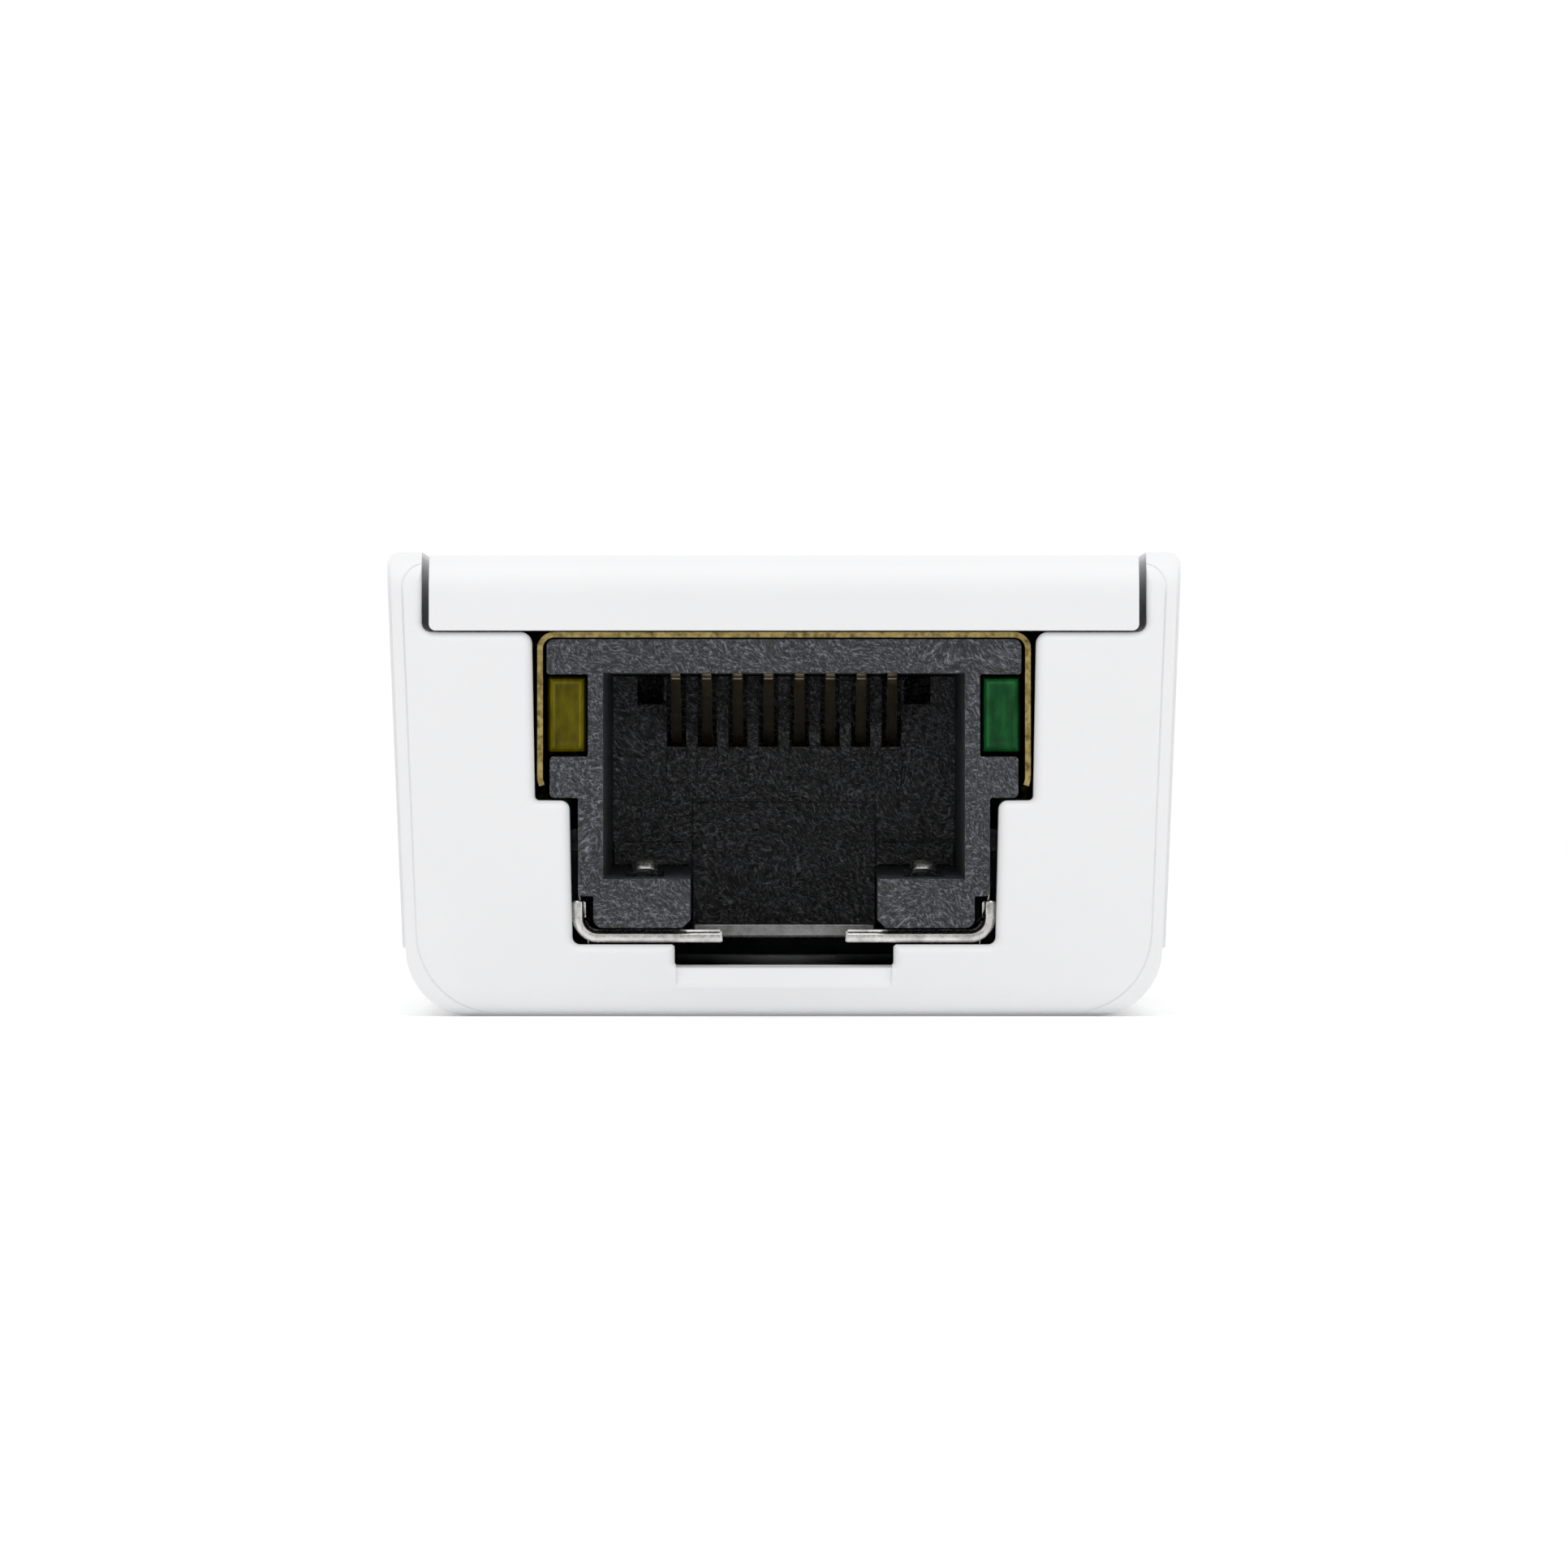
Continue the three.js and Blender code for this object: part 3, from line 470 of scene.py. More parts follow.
def lens_plastic(name, deep, bright, low, high):
    """A tinted clear lens: streaks of its lead frame inside, with painted light and shade near its edges: a
    painted highlight on the sloping rim, a brighter painted highlight line, and a painted shadow as a dark
    outline.
    """
    painted_rim_band_reach = 0.5 * MM  # how far in from its edges the rim's bands of painted light and shade are spread
    material, tree, main, add = shader(name)
    spot = add("ShaderNodeTexCoord")
    parts = add("ShaderNodeSeparateXYZ")
    tree.links.new(spot.outputs["Object"], parts.inputs["Vector"])

    def edge_distance(axis, start, end):
        """How far a point is from the nearer of two faces across an axis."""
        off = add("ShaderNodeMath", operation="SUBTRACT")
        off.inputs[1].default_value = (start + end) / 2 * MM
        tree.links.new(parts.outputs[axis], off.inputs[0])
        size = add("ShaderNodeMath", operation="ABSOLUTE")
        tree.links.new(off.outputs["Value"], size.inputs[0])
        room = add("ShaderNodeMath", operation="SUBTRACT")
        room.inputs[0].default_value = (end - start) / 2 * MM
        tree.links.new(size.outputs["Value"], room.inputs[1])
        return room.outputs["Value"]

    nearest = add("ShaderNodeMath", operation="MINIMUM")
    tree.links.new(edge_distance("X", low.x, high.x), nearest.inputs[0])
    tree.links.new(edge_distance("Z", low.z, high.z), nearest.inputs[1])
    inset = add("ShaderNodeMapRange")
    inset.inputs["From Max"].default_value = painted_rim_band_reach
    tree.links.new(nearest.outputs["Value"], inset.inputs["Value"])
    # painted light and shade on the lens colour: a painted shadow as a dark outline at the edges, a painted
    # highlight on the rim, a brighter painted highlight line, and the face darker inside them
    painted_rim_light_and_shade = ramp(tree, add, inset.outputs["Result"], [
        (0.0, grey(0.08)), (0.14, grey(0.12)), (0.22, grey(0.8)), (0.38, grey(0.68)),
        (0.44, grey(1.0)), (0.52, grey(0.55)), (1.0, grey(0.52)),
    ])
    streaks = grain(tree, add, 1900, detail=4, stretch=(1.5, 0.2, 0.5))
    body = ramp(tree, add, streaks.outputs["Fac"], [(0.3, bright), (0.75, deep)])
    shaded = add("ShaderNodeMix", data_type="RGBA", blend_type="MULTIPLY")
    shaded.inputs["Factor"].default_value = 1.0
    tree.links.new(body, shaded.inputs["A"])
    tree.links.new(painted_rim_light_and_shade, shaded.inputs["B"])
    tree.links.new(shaded.outputs["Result"], main.inputs["Base Color"])
    main.inputs["Roughness"].default_value = 0.2
    main.inputs["Specular IOR Level"].default_value = 0.1
    relief(tree, add, main, streaks.outputs["Fac"], 0.1, 0.01)
    return material


def board_mask(name):
    """Green solder mask with the faint weave of the glass cloth under it."""
    threads_per_metre, unevenness = 900.0, 0.6
    material, tree, main, add = shader(name)
    spot = add("ShaderNodeTexCoord")
    weave, across = [
        add(
            "ShaderNodeTexWave",
            wave_type="BANDS",
            bands_direction=direction,
            Scale=threads_per_metre,
            Distortion=unevenness,
        )
        for direction in ("X", "Y")
    ]
    for texture in (weave, across):
        tree.links.new(spot.outputs["Object"], texture.inputs["Vector"])
    both = add("ShaderNodeMath", operation="MULTIPLY")
    tree.links.new(weave.outputs["Fac"], both.inputs[0])
    tree.links.new(across.outputs["Fac"], both.inputs[1])
    greens = [(0.0, (0.006, 0.07, 0.022)), (1.0, (0.012, 0.12, 0.038))]
    tree.links.new(ramp(tree, add, both.outputs["Value"], greens), main.inputs["Base Color"])
    tree.links.new(
        ramp(tree, add, both.outputs["Value"], [(0.0, grey(0.3)), (1.0, grey(0.42))]),
        main.inputs["Roughness"],
    )
    relief(tree, add, main, both.outputs["Value"], 0.2, 0.01)
    return material


MATERIALS = {
    "white_shell": moulded_plastic("white_shell", (0.79, 0.792, 0.801), (0.81, 0.812, 0.821), 0.42),
    "white_gland": moulded_plastic(
        "white_gland", (0.74, 0.74, 0.75), (0.78, 0.78, 0.79), 0.62, texture_mm=0.09, depth_mm=0.01),
    "black_housing": fibre_plastic(
        "black_housing",
        dark=(0.003, 0.004, 0.005),
        middle=(0.036, 0.039, 0.045),
        light=(0.22, 0.237, 0.275),
        speck=(0.34, 0.36, 0.4),
    ),
    # painted light: a lighter copy of the housing's black plastic, for the contact block deep inside the
    # socket
    "black_housing_painted_lighter": fibre_plastic(
        "black_housing_painted_lighter",
        dark=(0.02, 0.021, 0.023),
        middle=(0.098, 0.101, 0.108),
        light=(0.42, 0.43, 0.46),
        speck=(0.5, 0.51, 0.53),
    ),
    "brass_sheet": plated_metal(
        "brass_sheet", (0.12, 0.09, 0.03), (0.42, 0.325, 0.125), 0.34, grain_mm=0.05, depth_mm=0.02),
    # the nickel gets painted shade deeper than 4.4 mm behind the front face
    "nickel_sheet": plated_metal(
        "nickel_sheet", (0.45, 0.445, 0.43), (0.76, 0.75, 0.73), 0.26,
        grain_mm=0.12, depth_mm=0.003, painted_shade_from=4.4),
    "gold_contact": plated_metal(
        "gold_contact", (0.32, 0.26, 0.17), (0.36, 0.3, 0.2), 0.42, grain_mm=0.5, depth_mm=0.0002),
    "tin_lead": plated_metal(
        "tin_lead", (0.4, 0.4, 0.41), (0.62, 0.62, 0.63), 0.36, grain_mm=0.1, depth_mm=0.004),
    "yellow_lens": lens_plastic(
        "yellow_lens", (0.085, 0.07, 0.0006), (0.235, 0.195, 0.0015), *node_box("yellow_led")),
    "green_lens": lens_plastic(
        "green_lens", (0.004, 0.048, 0.011), (0.016, 0.155, 0.04), *node_box("green_led")),
    "circuit_board": board_mask("circuit_board"),
    "chip_black": moulded_plastic(
        "chip_black", (0.012, 0.012, 0.013), (0.02, 0.02, 0.021), 0.55, texture_mm=0.04, depth_mm=0.006),
    "ceramic_tan": moulded_plastic("ceramic_tan", (0.34, 0.2, 0.09), (0.43, 0.28, 0.14), 0.5),
    "resistor_black": moulded_plastic(
        "resistor_black", (0.014, 0.014, 0.016), (0.03, 0.03, 0.032), 0.35, depth_mm=0.003),
    "ferrite_grey": moulded_plastic(
        "ferrite_grey", (0.05, 0.05, 0.054), (0.09, 0.09, 0.095), 0.6, texture_mm=0.06, depth_mm=0.01),
}
SLOTS = {row["node"]: row["material_slot"] for row in frame["record"]["subparts"]}


REPLACED = set()


def finish_piece(piece, slot, body, *nodes):
    """Gives a piece its material, its body and the CAD nodes that it stands for."""
    piece.data.materials.clear()
    piece.data.materials.append(MATERIALS[slot])
    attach(piece, body)
    if nodes:
        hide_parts(*nodes)
        REPLACED.update(nodes)
    return piece


ROOT = next(name for name, nodes in frame["record"]["behaviour"]["bodies"].items() if "bottom_tray" in nodes)

# ---------------------------------------------------------------- the case

LATCH_HALF = 3.56
LEAD_IN = 0.36  # rounding of the front opening's edges
HOOK_DEPTHS = (22, 52)
HOOK_LENGTH = 4
HOOK_POCKET = (10.5, 11.7)
RIB_DEPTHS = (19.5, 34, 57)
POST_DEPTHS = (30, 46)
BAR_DEPTHS = (24, 36, 48)
BASE_ROUND, TOP_ROUND, END_ROUND = 1.05, 1.4, 0.24  # how far the end faces round into the base, top and sides
SECTION_ROUND, RAIL_ROUND = 2.2, 0.4  # the section's corners, at the base and at the top
CLEAR = 20  # beyond the case on any side
BOARD_UNDER = BOARD_LOW.z - 0.02


def case_section(top):
    return mirrored([(wall_at(0), 0, SECTION_ROUND), (wall_at(top), top, RAIL_ROUND)])


def end_profile(top, inset=0):
    """The case seen from its side, rounded into its top and its base."""
    front, rear = FRONT + inset, REAR - inset
    corners = [(front, 0, BASE_ROUND), (rear, 0, BASE_ROUND), (rear, top, TOP_ROUND), (front, top, TOP_ROUND)]
    return along_x(rounded(corners, steps=14), -CLEAR, CLEAR)


def case_block(top):
    """The case's outer block: its section, rounded into its end faces above, below and at the sides."""
    half = wall_at(top)
    plan = [(x, y, END_ROUND) for x, y in ((-half, FRONT), (half, FRONT), (half, REAR), (-half, REAR))]
    body = along_y(rounded(case_section(top), steps=16), FRONT - 1, REAR + 1)
    return combine(body, "INTERSECT", [end_profile(top), along_z(rounded(plan, steps=6), -1, top + 1)])


def side_grip(side):
    """The thin raised panel along one side wall."""
    low, proud = 2.22, GRIP_PROUD
    outline = [
        (wall_at(low) - 0.5, low),
        (wall_at(low) + proud, low, 0.06),
        (wall_at(RAIL_TOP) + proud, RAIL_TOP, 0.42),
        (wall_at(RAIL_TOP) - 0.6, RAIL_TOP),
    ]
    points = [(side * x, z) for x, z in rounded(outline, steps=8)]
    return combine(along_y(points, FRONT, REAR), "INTERSECT", [end_profile(RAIL_TOP - 0.03, 0.3)])


def face_depth(z):
    """How far the front face has curved back at height z."""
    for edge, radius in ((z, BASE_ROUND), (RAIL_TOP - z, TOP_ROUND)):
        if edge < radius:
            return radius - math.sqrt(max(0, radius ** 2 - (radius - edge) ** 2))
    return 0


def face_line():
    """A cutter for the hairline groove round the front face, where the mould's end plate met its sides."""
    offset, drop, base_round, width, depth = 0.37, 0.27, 2.3, 0.07, 0.035
    # the groove's outline: shares of its width across it, and how far into the face each point is
    outline = ((-0.5, -0.1), (0.5, -0.1), (0.5, 0), (0.12, depth), (-0.12, depth), (-0.5, 0))
    section = mirrored([(wall_at(-drop), -drop, base_round), (wall_at(RAIL_TOP), RAIL_TOP, RAIL_ROUND)])
    line = rounded(grown(section, -offset), steps=16)
    count = len(line)
    loops = []
    for i, here in enumerate(line):
        along = (line[(i + 1) % count] - line[i - 1]).normalized()
        out = Vector((along.y, -along.x))
        skin = face_depth(here.y)
        loops.append([
            (here.x + out.x * width * across, at(skin + into), here.y + out.y * width * across)
            for across, into in outline
        ])
    return lofted(loops, ring=True)


def flared(corners, inner_depth):
    """A cutter through the front wall whose mouth is rounded out to the front face."""
    loops = [[(*p, -0.5) for p in rounded(grown(corners, LEAD_IN), steps=6)]]
    turns = 6
    for k in range(turns + 1):
        angle = math.pi / 2 * k / turns
        spread = LEAD_IN * (1 - math.sin(angle))
        depth = LEAD_IN * (1 - math.cos(angle))
        loops.append([(*p, depth) for p in rounded(grown(corners, max(spread, 0.0001)), steps=6)])
    loops.append([(*p, inner_depth) for p in rounded(grown(corners, 0.0001), steps=6)])
    return lofted([[(x, at(depth), z) for x, z, depth in loop] for loop in loops])


FRONT_OPENING = [
    (LATCH_HALF, 1.66, 0.1),
    (LATCH_HALF, 2.33, 0.12),
    (6.88, 2.33, 0.25),
    (6.98, 7.02, 0.3),
    (8.1, 7.02, 0.15),
    (8.2, SEAT, 0.4),
    (SEAT_HALF, SEAT, 0.3),
    (SEAT_HALF, CLEAR),
]


def slot_outline(radius, top, z, steps=20):
    """A slot that is round at its bottom and open at its top."""
    arc = []
    for k in range(steps + 1):
        angle = math.pi * (1 + k / steps)
        arc.append((radius * math.cos(angle), z + radius * math.sin(angle)))
    return [*arc, (radius, top), (-radius, top)]


def bottom_tray():
    tray = join(case_block(RAIL_TOP), side_grip(1), side_grip(-1))
    pocket = rounded([
        (-SEAT_HALF, SEAT, 0.3),
        (SEAT_HALF, SEAT, 0.3),
        (SEAT_HALF, CLEAR),
        (-SEAT_HALF, CLEAR),
    ])
    ramp_side = [
        (at(-0.3), 0.1),
        (at(0.03), 1.0, 0.9),
        (at(0.4), 1.58, 0.12),
        (at(1.35), 1.7),
        (at(1.35), 3),
        (at(-0.3), 3),
    ]
    hook_room = 0.2
    hook_pockets = []
    for depth in HOOK_DEPTHS:
        along = (at(depth - hook_room), at(depth + HOOK_LENGTH + hook_room))
        hook_pockets += block_pair((INNER_HALF - 0.1, INNER_HALF + 0.5), along, HOOK_POCKET)
    cut(
        tray,
        along_y(pocket, FRONT + 0.9, REAR + 1),
        block((-INNER_HALF, INNER_HALF), (FRONT + WALL, REAR - WALL), (WALL, SEAT + 1)),
        flared(mirrored(FRONT_OPENING), WALL + 0.5),
        along_x(rounded(ramp_side, steps=6), -LATCH_HALF + 0.04, LATCH_HALF - 0.04),
        along_y(slot_outline(3.0, SEAT + 1, GLAND_Z), REAR - WALL - 0.5, REAR + 1),
        *hook_pockets,
    )
    ribs = []
    for depth in RIB_DEPTHS:
        ribs += block_pair((9.2, INNER_HALF + 0.1), (at(depth), at(depth + 1.6)), (WALL - 0.1, BOARD_UNDER))
    gland_stop = block((-4, 4), (at(61), at(62.2)), (WALL - 0.1, 3.2))
    join(tray, gland_stop, *ribs)
    dress(tray, "case_tray", 0.05)
    smooth(cut(tray, face_line()))
    return finish_piece(tray, "white_shell", ROOT, "bottom_tray")


def hook_outline(side, under):
    """A snap hook seen from the front: a leg down from the lid with a nose in the wall's pocket."""
    inner, foot = 9.95, 10.3
    points = [
        (inner, under + 0.1),
        (inner, foot),
        (10.4, foot),
        (INNER_HALF + 0.35, HOOK_POCKET[0] + 0.6),
        (INNER_HALF + 0.35, HOOK_POCKET[1] - 0.15),
        (INNER_HALF - 0.1, HOOK_POCKET[1] - 0.15),
        (INNER_HALF - 0.1, under + 0.1),
    ]
    return [(side * x, z) for x, z in points]


def top_cover():
    under = COVER_TOP - 1.6
    lip = 1.1
    section = [
        (-COVER_HALF, COVER_UNDER, 0.22),
        (COVER_HALF, COVER_UNDER, 0.22),
        (COVER_HALF, CLEAR),
        (-COVER_HALF, CLEAR),
    ]
    cover = combine(case_block(COVER_TOP), "INTERSECT", [along_y(rounded(section), FRONT - 1, REAR + 1)])
    cut(cover, block(
        (lip - COVER_HALF, COVER_HALF - lip), (FRONT + WALL, REAR - WALL), (COVER_UNDER - 1, under)))
    tongue = cut(
        block((-2.95, 2.95), (REAR - WALL, REAR), (GLAND_Z, COVER_UNDER + 0.5)),
        rod(0, GLAND_Z, 3.0, (REAR - WALL - 1, REAR + 1)),
    )
    hooks = [
        along_y(hook_outline(side, under), at(depth), at(depth + HOOK_LENGTH))
        for depth in HOOK_DEPTHS
        for side in (1, -1)
    ]
    posts = []
    for depth in POST_DEPTHS:
        posts += block_pair((8.6, 9.8), (at(depth), at(depth + 1.2)), (BOARD_HIGH.z + 0.05, under + 0.1))
    bars = [
        block((-8.4, 8.4), (at(depth), at(depth + 0.9)), (under - 0.7, under + 0.1))
        for depth in BAR_DEPTHS
    ]
    join(cover, tongue, *hooks, *posts, *bars)
    return finish_piece(dress(cover, "case_cover", 0.05, 3), "white_shell", ROOT, "top_cover")


def cable_gland():
    bore, neck, flange, collar, nose = 2.1, 2.95, 4.1, 3.9, 3.4  # radii
    inner = REAR - WALL - 0.05
    profile = [
        (bore, inner - 1.2, 0.1),
        (flange, inner - 1.2, 0.25),
        (flange, inner, 0.1),
        (neck, inner, 0.05),
        (neck, REAR + 0.05, 0.05),
        (collar, REAR + 0.05, 0.1),
        (collar, REAR + 0.95, 0.3),
        (nose, GLAND_HIGH.y, 0.3),
        (bore, GLAND_HIGH.y, 0.35),
    ]
    gland = turned(rounded(profile, steps=5), (0, GLAND_Z), "lead_gland")
    smooth(gland)
    return finish_piece(gland, "white_gland", ROOT, "cable_gland")


bottom_tray()
top_cover()
cable_gland()

# ---------------------------------------------------------------- the socket

SOCKET_FRONT, SOCKET_REAR = 0.25, 16
OPENING_HALF, OPENING_FLOOR, OPENING_ROOF = 5.89, 4.45, 11.16
BACK_HALF, BACK_FLOOR = 5.65, 4.85  # the opening narrows to this at the contact carrier
CARRIER_DEPTH = 11.9
LEDGE_HIGH = 5.6  # top of the carrier's side ledges
SLOT_HALF = 3.05  # the latch slot
SHIELD_BACK = 18.5
FINGER_X, FINGER_HALF = 4.55, 0.42
CONTACT_WIDTH, CONTACT_THICK = 0.35, 0.25


def tapered(x, y, z, far_x, far_z):
    """A block along Y whose far end is a smaller rectangle."""
    loops = []
    for depth, across, up in ((y[0], x, z), (y[1], far_x, far_z)):
        loops.append([(across[i], depth, up[k]) for i, k in ((0, 0), (1, 0), (1, 1), (0, 1))])
    return lofted(loops)


def socket_housing():
    outline = mirrored([
        (6.2, 2.87, 0.3),
        (6.2, 3.9, 0.03),
        (6.7, 3.9, 0.14),
        (6.7, 7.1, 0.08),
        (7.62, 7.1, 0.16),
        (7.62, 8.44, 0.12),
        (6.38, 8.44, 0.06),
        (6.38, 11.12, 0.06),
        (7.72, 11.12, 0.1),
        (7.72, 12.26, 0.24),
    ])
    housing = along_y(rounded(outline), at(SOCKET_FRONT), at(SOCKET_REAR))
    latch_slot = [
        (-SLOT_HALF, 6),
        (-SLOT_HALF, 3.12),
        (-3.32, 2.86),
        (-3.32, 1),
        (3.32, 1),
        (3.32, 2.86),
        (SLOT_HALF, 3.12),
        (SLOT_HALF, 6),
    ]
    behind = at(20)
    groove_half = 0.25
    grooves = [
        block(
            (contact_x(i) - groove_half, contact_x(i) + groove_half),
            (at(4.2), behind),
            (OPENING_ROOF - 0.1, 12),
        )
        for i in CONTACTS
    ]
    finger_room = 0.2
    finger_slot = (FINGER_X - FINGER_HALF - finger_room, FINGER_X + FINGER_HALF + finger_room)
    cut(
        housing,
        tapered(
            (-OPENING_HALF, OPENING_HALF),
            (at(0), at(CARRIER_DEPTH)),
            (OPENING_FLOOR, OPENING_ROOF),
            (-BACK_HALF, BACK_HALF),
            (BACK_FLOOR, OPENING_ROOF),
        ),
        block(
            (-OPENING_HALF, OPENING_HALF),
            (at(CARRIER_DEPTH - 0.05), behind),
            (OPENING_FLOOR, OPENING_ROOF),
        ),
        along_y(latch_slot, at(-1), behind),
        *block_pair((6.45, 9), (at(1.4), behind), (0, 7.08)),
        *block_pair(finger_slot, (at(2.3), at(8.2)), (0, BACK_FLOOR)),
        *grooves,
    )
    return finish_piece(dress(housing, "socket_housing", 0.07, 3), "black_housing", ROOT, "jack_housing")


def contact_carrier():
    """The block that holds the contacts, with the joints of its inserts as fine gaps in its face."""
    face, half, gap = CARRIER_DEPTH, OPENING_HALF - 0.05, 0.055
    middle_half, middle_top = SLOT_HALF - 0.05, 6.93
    comb_half, comb_floor, comb_reach = 0.32, 8.78, 1.6
    seam_offset, seam_half = 0.34, 0.022
    rear = at(SOCKET_REAR)
    carrier = block((-half, half), (at(face), rear), (OPENING_FLOOR + 0.05, OPENING_ROOF - 0.05))
    join(
        carrier,
        block((-middle_half, middle_half), (at(face - 0.12), rear), (2.92, middle_top)),
        *block_pair(
            (middle_half + 0.1, BACK_HALF - 0.05),
            (at(face - 0.3), at(face + 0.5)),
            (BACK_FLOOR + 0.05, LEDGE_HIGH),
        ),
    )
    before = at(face - 1)
    inside = (before, at(face + 0.1))
    gaps = [
        block((-middle_half - gap, middle_half + gap), inside, (middle_top, middle_top + gap)),
        *block_pair((middle_half, middle_half + gap), inside, (BACK_FLOOR, middle_top + gap)),
        *block_pair((middle_half, BACK_HALF), inside, (LEDGE_HIGH, LEDGE_HIGH + gap)),
    ]
    slots = [
        block(
            (contact_x(i) - comb_half, contact_x(i) + comb_half),
            (before, at(face + comb_reach)),
            (comb_floor, 12),
        )
        for i in CONTACTS
    ]
    seam_places = [contact_x(i) + side * seam_offset for i in CONTACTS for side in (-1, 1)]
    seams = [
        block((x - seam_half, x + seam_half), (before, at(face + 0.12)), (7.75, 8.9))
        for x in seam_places
    ]
    end_pockets = block_pair((3.98, 4.85), (before, at(face + 3)), (10.19, 12))
    cut(carrier, *slots, *gaps, *seams, *end_pockets)
    finish_piece(dress(carrier, "contact_block", 0.01, 1), "black_housing", ROOT, "contact_carrier")
    carrier.data.materials[0] = MATERIALS["black_housing_painted_lighter"]  # a lighter copy of the housing's plastic: painted light, standing in for light reaching the contact block deep in the socket


def wire(path, x, name, width=CONTACT_WIDTH, thick=CONTACT_THICK, corner=0.05):
    """A flat wire with rounded corners and ends, bent along a path of (y, z)."""
    def section(shrink):
        across, up = width / 2 - shrink, thick / 2 - shrink
        edge = min(corner, across * 0.45, up * 0.45)
        corners = ((-across, -up), (across, -up), (across, up), (-across, up))
        return rounded([(x, z, edge) for x, z in corners], steps=3)

    loops = []
    last = len(path) - 1
    for i, here in enumerate(path):
        first = (here - path[i - 1]).normalized() if i else (path[1] - here).normalized()
        second = (path[i + 1] - here).normalized() if i < last else first
        along = (first + second).normalized()
        normal = Vector((-along.y, along.x)) / max(0.5, along.dot(second))
        ends = []
        if i == 0:
            ends = [(0, corner), (corner * 0.3, corner * 0.3), (corner, 0)]
        elif i == last:
            ends = [(-corner, 0), (-corner * 0.3, corner * 0.3), (0, corner)]
        for slide, shrink in ends or [(0, 0)]:
            spot = here + along * slide
            loops.append([(x + u, spot.x + normal.x * v, spot.y + normal.y * v) for u, v in section(shrink)])
    piece = lofted(loops, name)
    smooth(piece, 40)
    return piece


SLOPE = math.radians(15.2)
BEND_RADIUS = 0.32
BEND = Vector((at(4.9), 11.42))  # the middle of the turn at each contact's front
LEG_LENGTH = 7.95
TAIL_DEPTHS = (16.4, 17.67)
HINGE_BEYOND = CONTACT_THICK / 2 + 0.03  # from the end of a wire's turn to its hinge
LEG_AHEAD = 0.1  # how far in front of its hinge a leg starts
LEG_STEPS = 6


def contacts():
    down = Vector((math.cos(SLOPE), -math.sin(SLOPE)))
    turn = math.pi - SLOPE
    steps = 14
    arc = []
    for k in range(1, steps + 1):
        angle = math.pi / 2 + turn * k / steps
        arc.append(BEND + BEND_RADIUS * Vector((math.cos(angle), math.sin(angle))))
    hinge = arc[-1] + down * HINGE_BEYOND
    for i in CONTACTS:
        drop = at(TAIL_DEPTHS[(i - 1) % 2])
        run = BEND.y + BEND_RADIUS
        tail = rounded([(drop, 5.3), (drop, run, 0.4), (BEND.x, run)], closed=False)
        fixed = wire([*tail, *arc], contact_x(i), f"wire_tail_{i}")
        finish_piece(fixed, "gold_contact", ROOT, f"contact_tail_{i}")
        leg = [hinge + down * LEG_LENGTH * k / LEG_STEPS for k in range(1, LEG_STEPS + 1)]
        leg.insert(0, hinge - down * LEG_AHEAD)
        free = wire(leg, contact_x(i), f"wire_leg_{i}")
        finish_piece(free, "gold_contact", f"contact_{i}", f"contact_spring_{i}")


def upper_shield():
    """The sheet folded over the socket's top and sides, its edge curled in at the bottom."""
    thick = 0.19
    side, roof = 8.03, 12.5  # its outer faces
    half, top = side - thick / 2, roof - thick / 2
    low, curl = 7.5, 0.06
    line = rounded([
        (curl - half, low),
        (-half, low + 0.2, 0.15),
        (-half, top, 0.45),
        (half, top, 0.45),
        (half, low + 0.2, 0.15),
        (half - curl, low),
    ], closed=False)
    shield = along_y(ribbon(line, thick), at(0.35), at(SHIELD_BACK))
    back = (at(SHIELD_BACK - thick), at(SHIELD_BACK))
    join(
        shield,
        block((-7.9, 7.9), back, (7.25, 12.4)),
        *block_pair((side - thick, side), (at(7.9), at(9.1)), (5.2, low)),
    )
    dress(shield, "shield_upper", 0.06, 3)
    return finish_piece(shield, "brass_sheet", ROOT, "upper_shield")


def lower_shield():
    """The sheet folded under the socket, open for the latch and for the two ground springs."""
    thick, mouth_thick = 0.28, 0.32
    half, side_top, bend = 6.83 - thick / 2, 3.77, 0.62
    mouth_z, floor_z = 2.555, 2.66  # the middle of the sheet, at its mouth and behind it
    cutter_z = (2, 3)
    finger_room = 0.12

    def trough(middle, start, end, thickness=thick):
        corners = [(-half, side_top), (-half, middle, bend), (half, middle, bend), (half, side_top)]
        return along_y(ribbon(rounded(corners, closed=False), thickness), at(start), at(end))

    raised = block((-3.0, 3.0), (at(4.9), at(8.5)), (2.6, 2.98))
    shield = join(trough(mouth_z, 0.45, 1.6, mouth_thick), trough(floor_z, 1.5, 15.7), raised)
    finger_hole = (FINGER_X - FINGER_HALF - finger_room, FINGER_X + FINGER_HALF + finger_room)
    cut(
        shield,
        block((-2, 2), (at(0), at(2)), cutter_z),
        block((-3.2, 3.2), (at(1.6), at(4.9)), cutter_z),
        *block_pair(finger_hole, (at(2.6), at(7.85)), cutter_z),
    )
    burr = ((2.0, 2.42), (2.22, 2.5), (2.16, 2.66), (2.02, 2.77))
    burrs = [along_y([(side * x, z) for x, z in burr], at(0.47), at(1.55)) for side in (1, -1)]
    dress(shield, "shield_lower", 0.09, 4, clamp=False)
    smooth(join(shield, *burrs))
    return finish_piece(shield, "nickel_sheet", ROOT, "lower_shield")


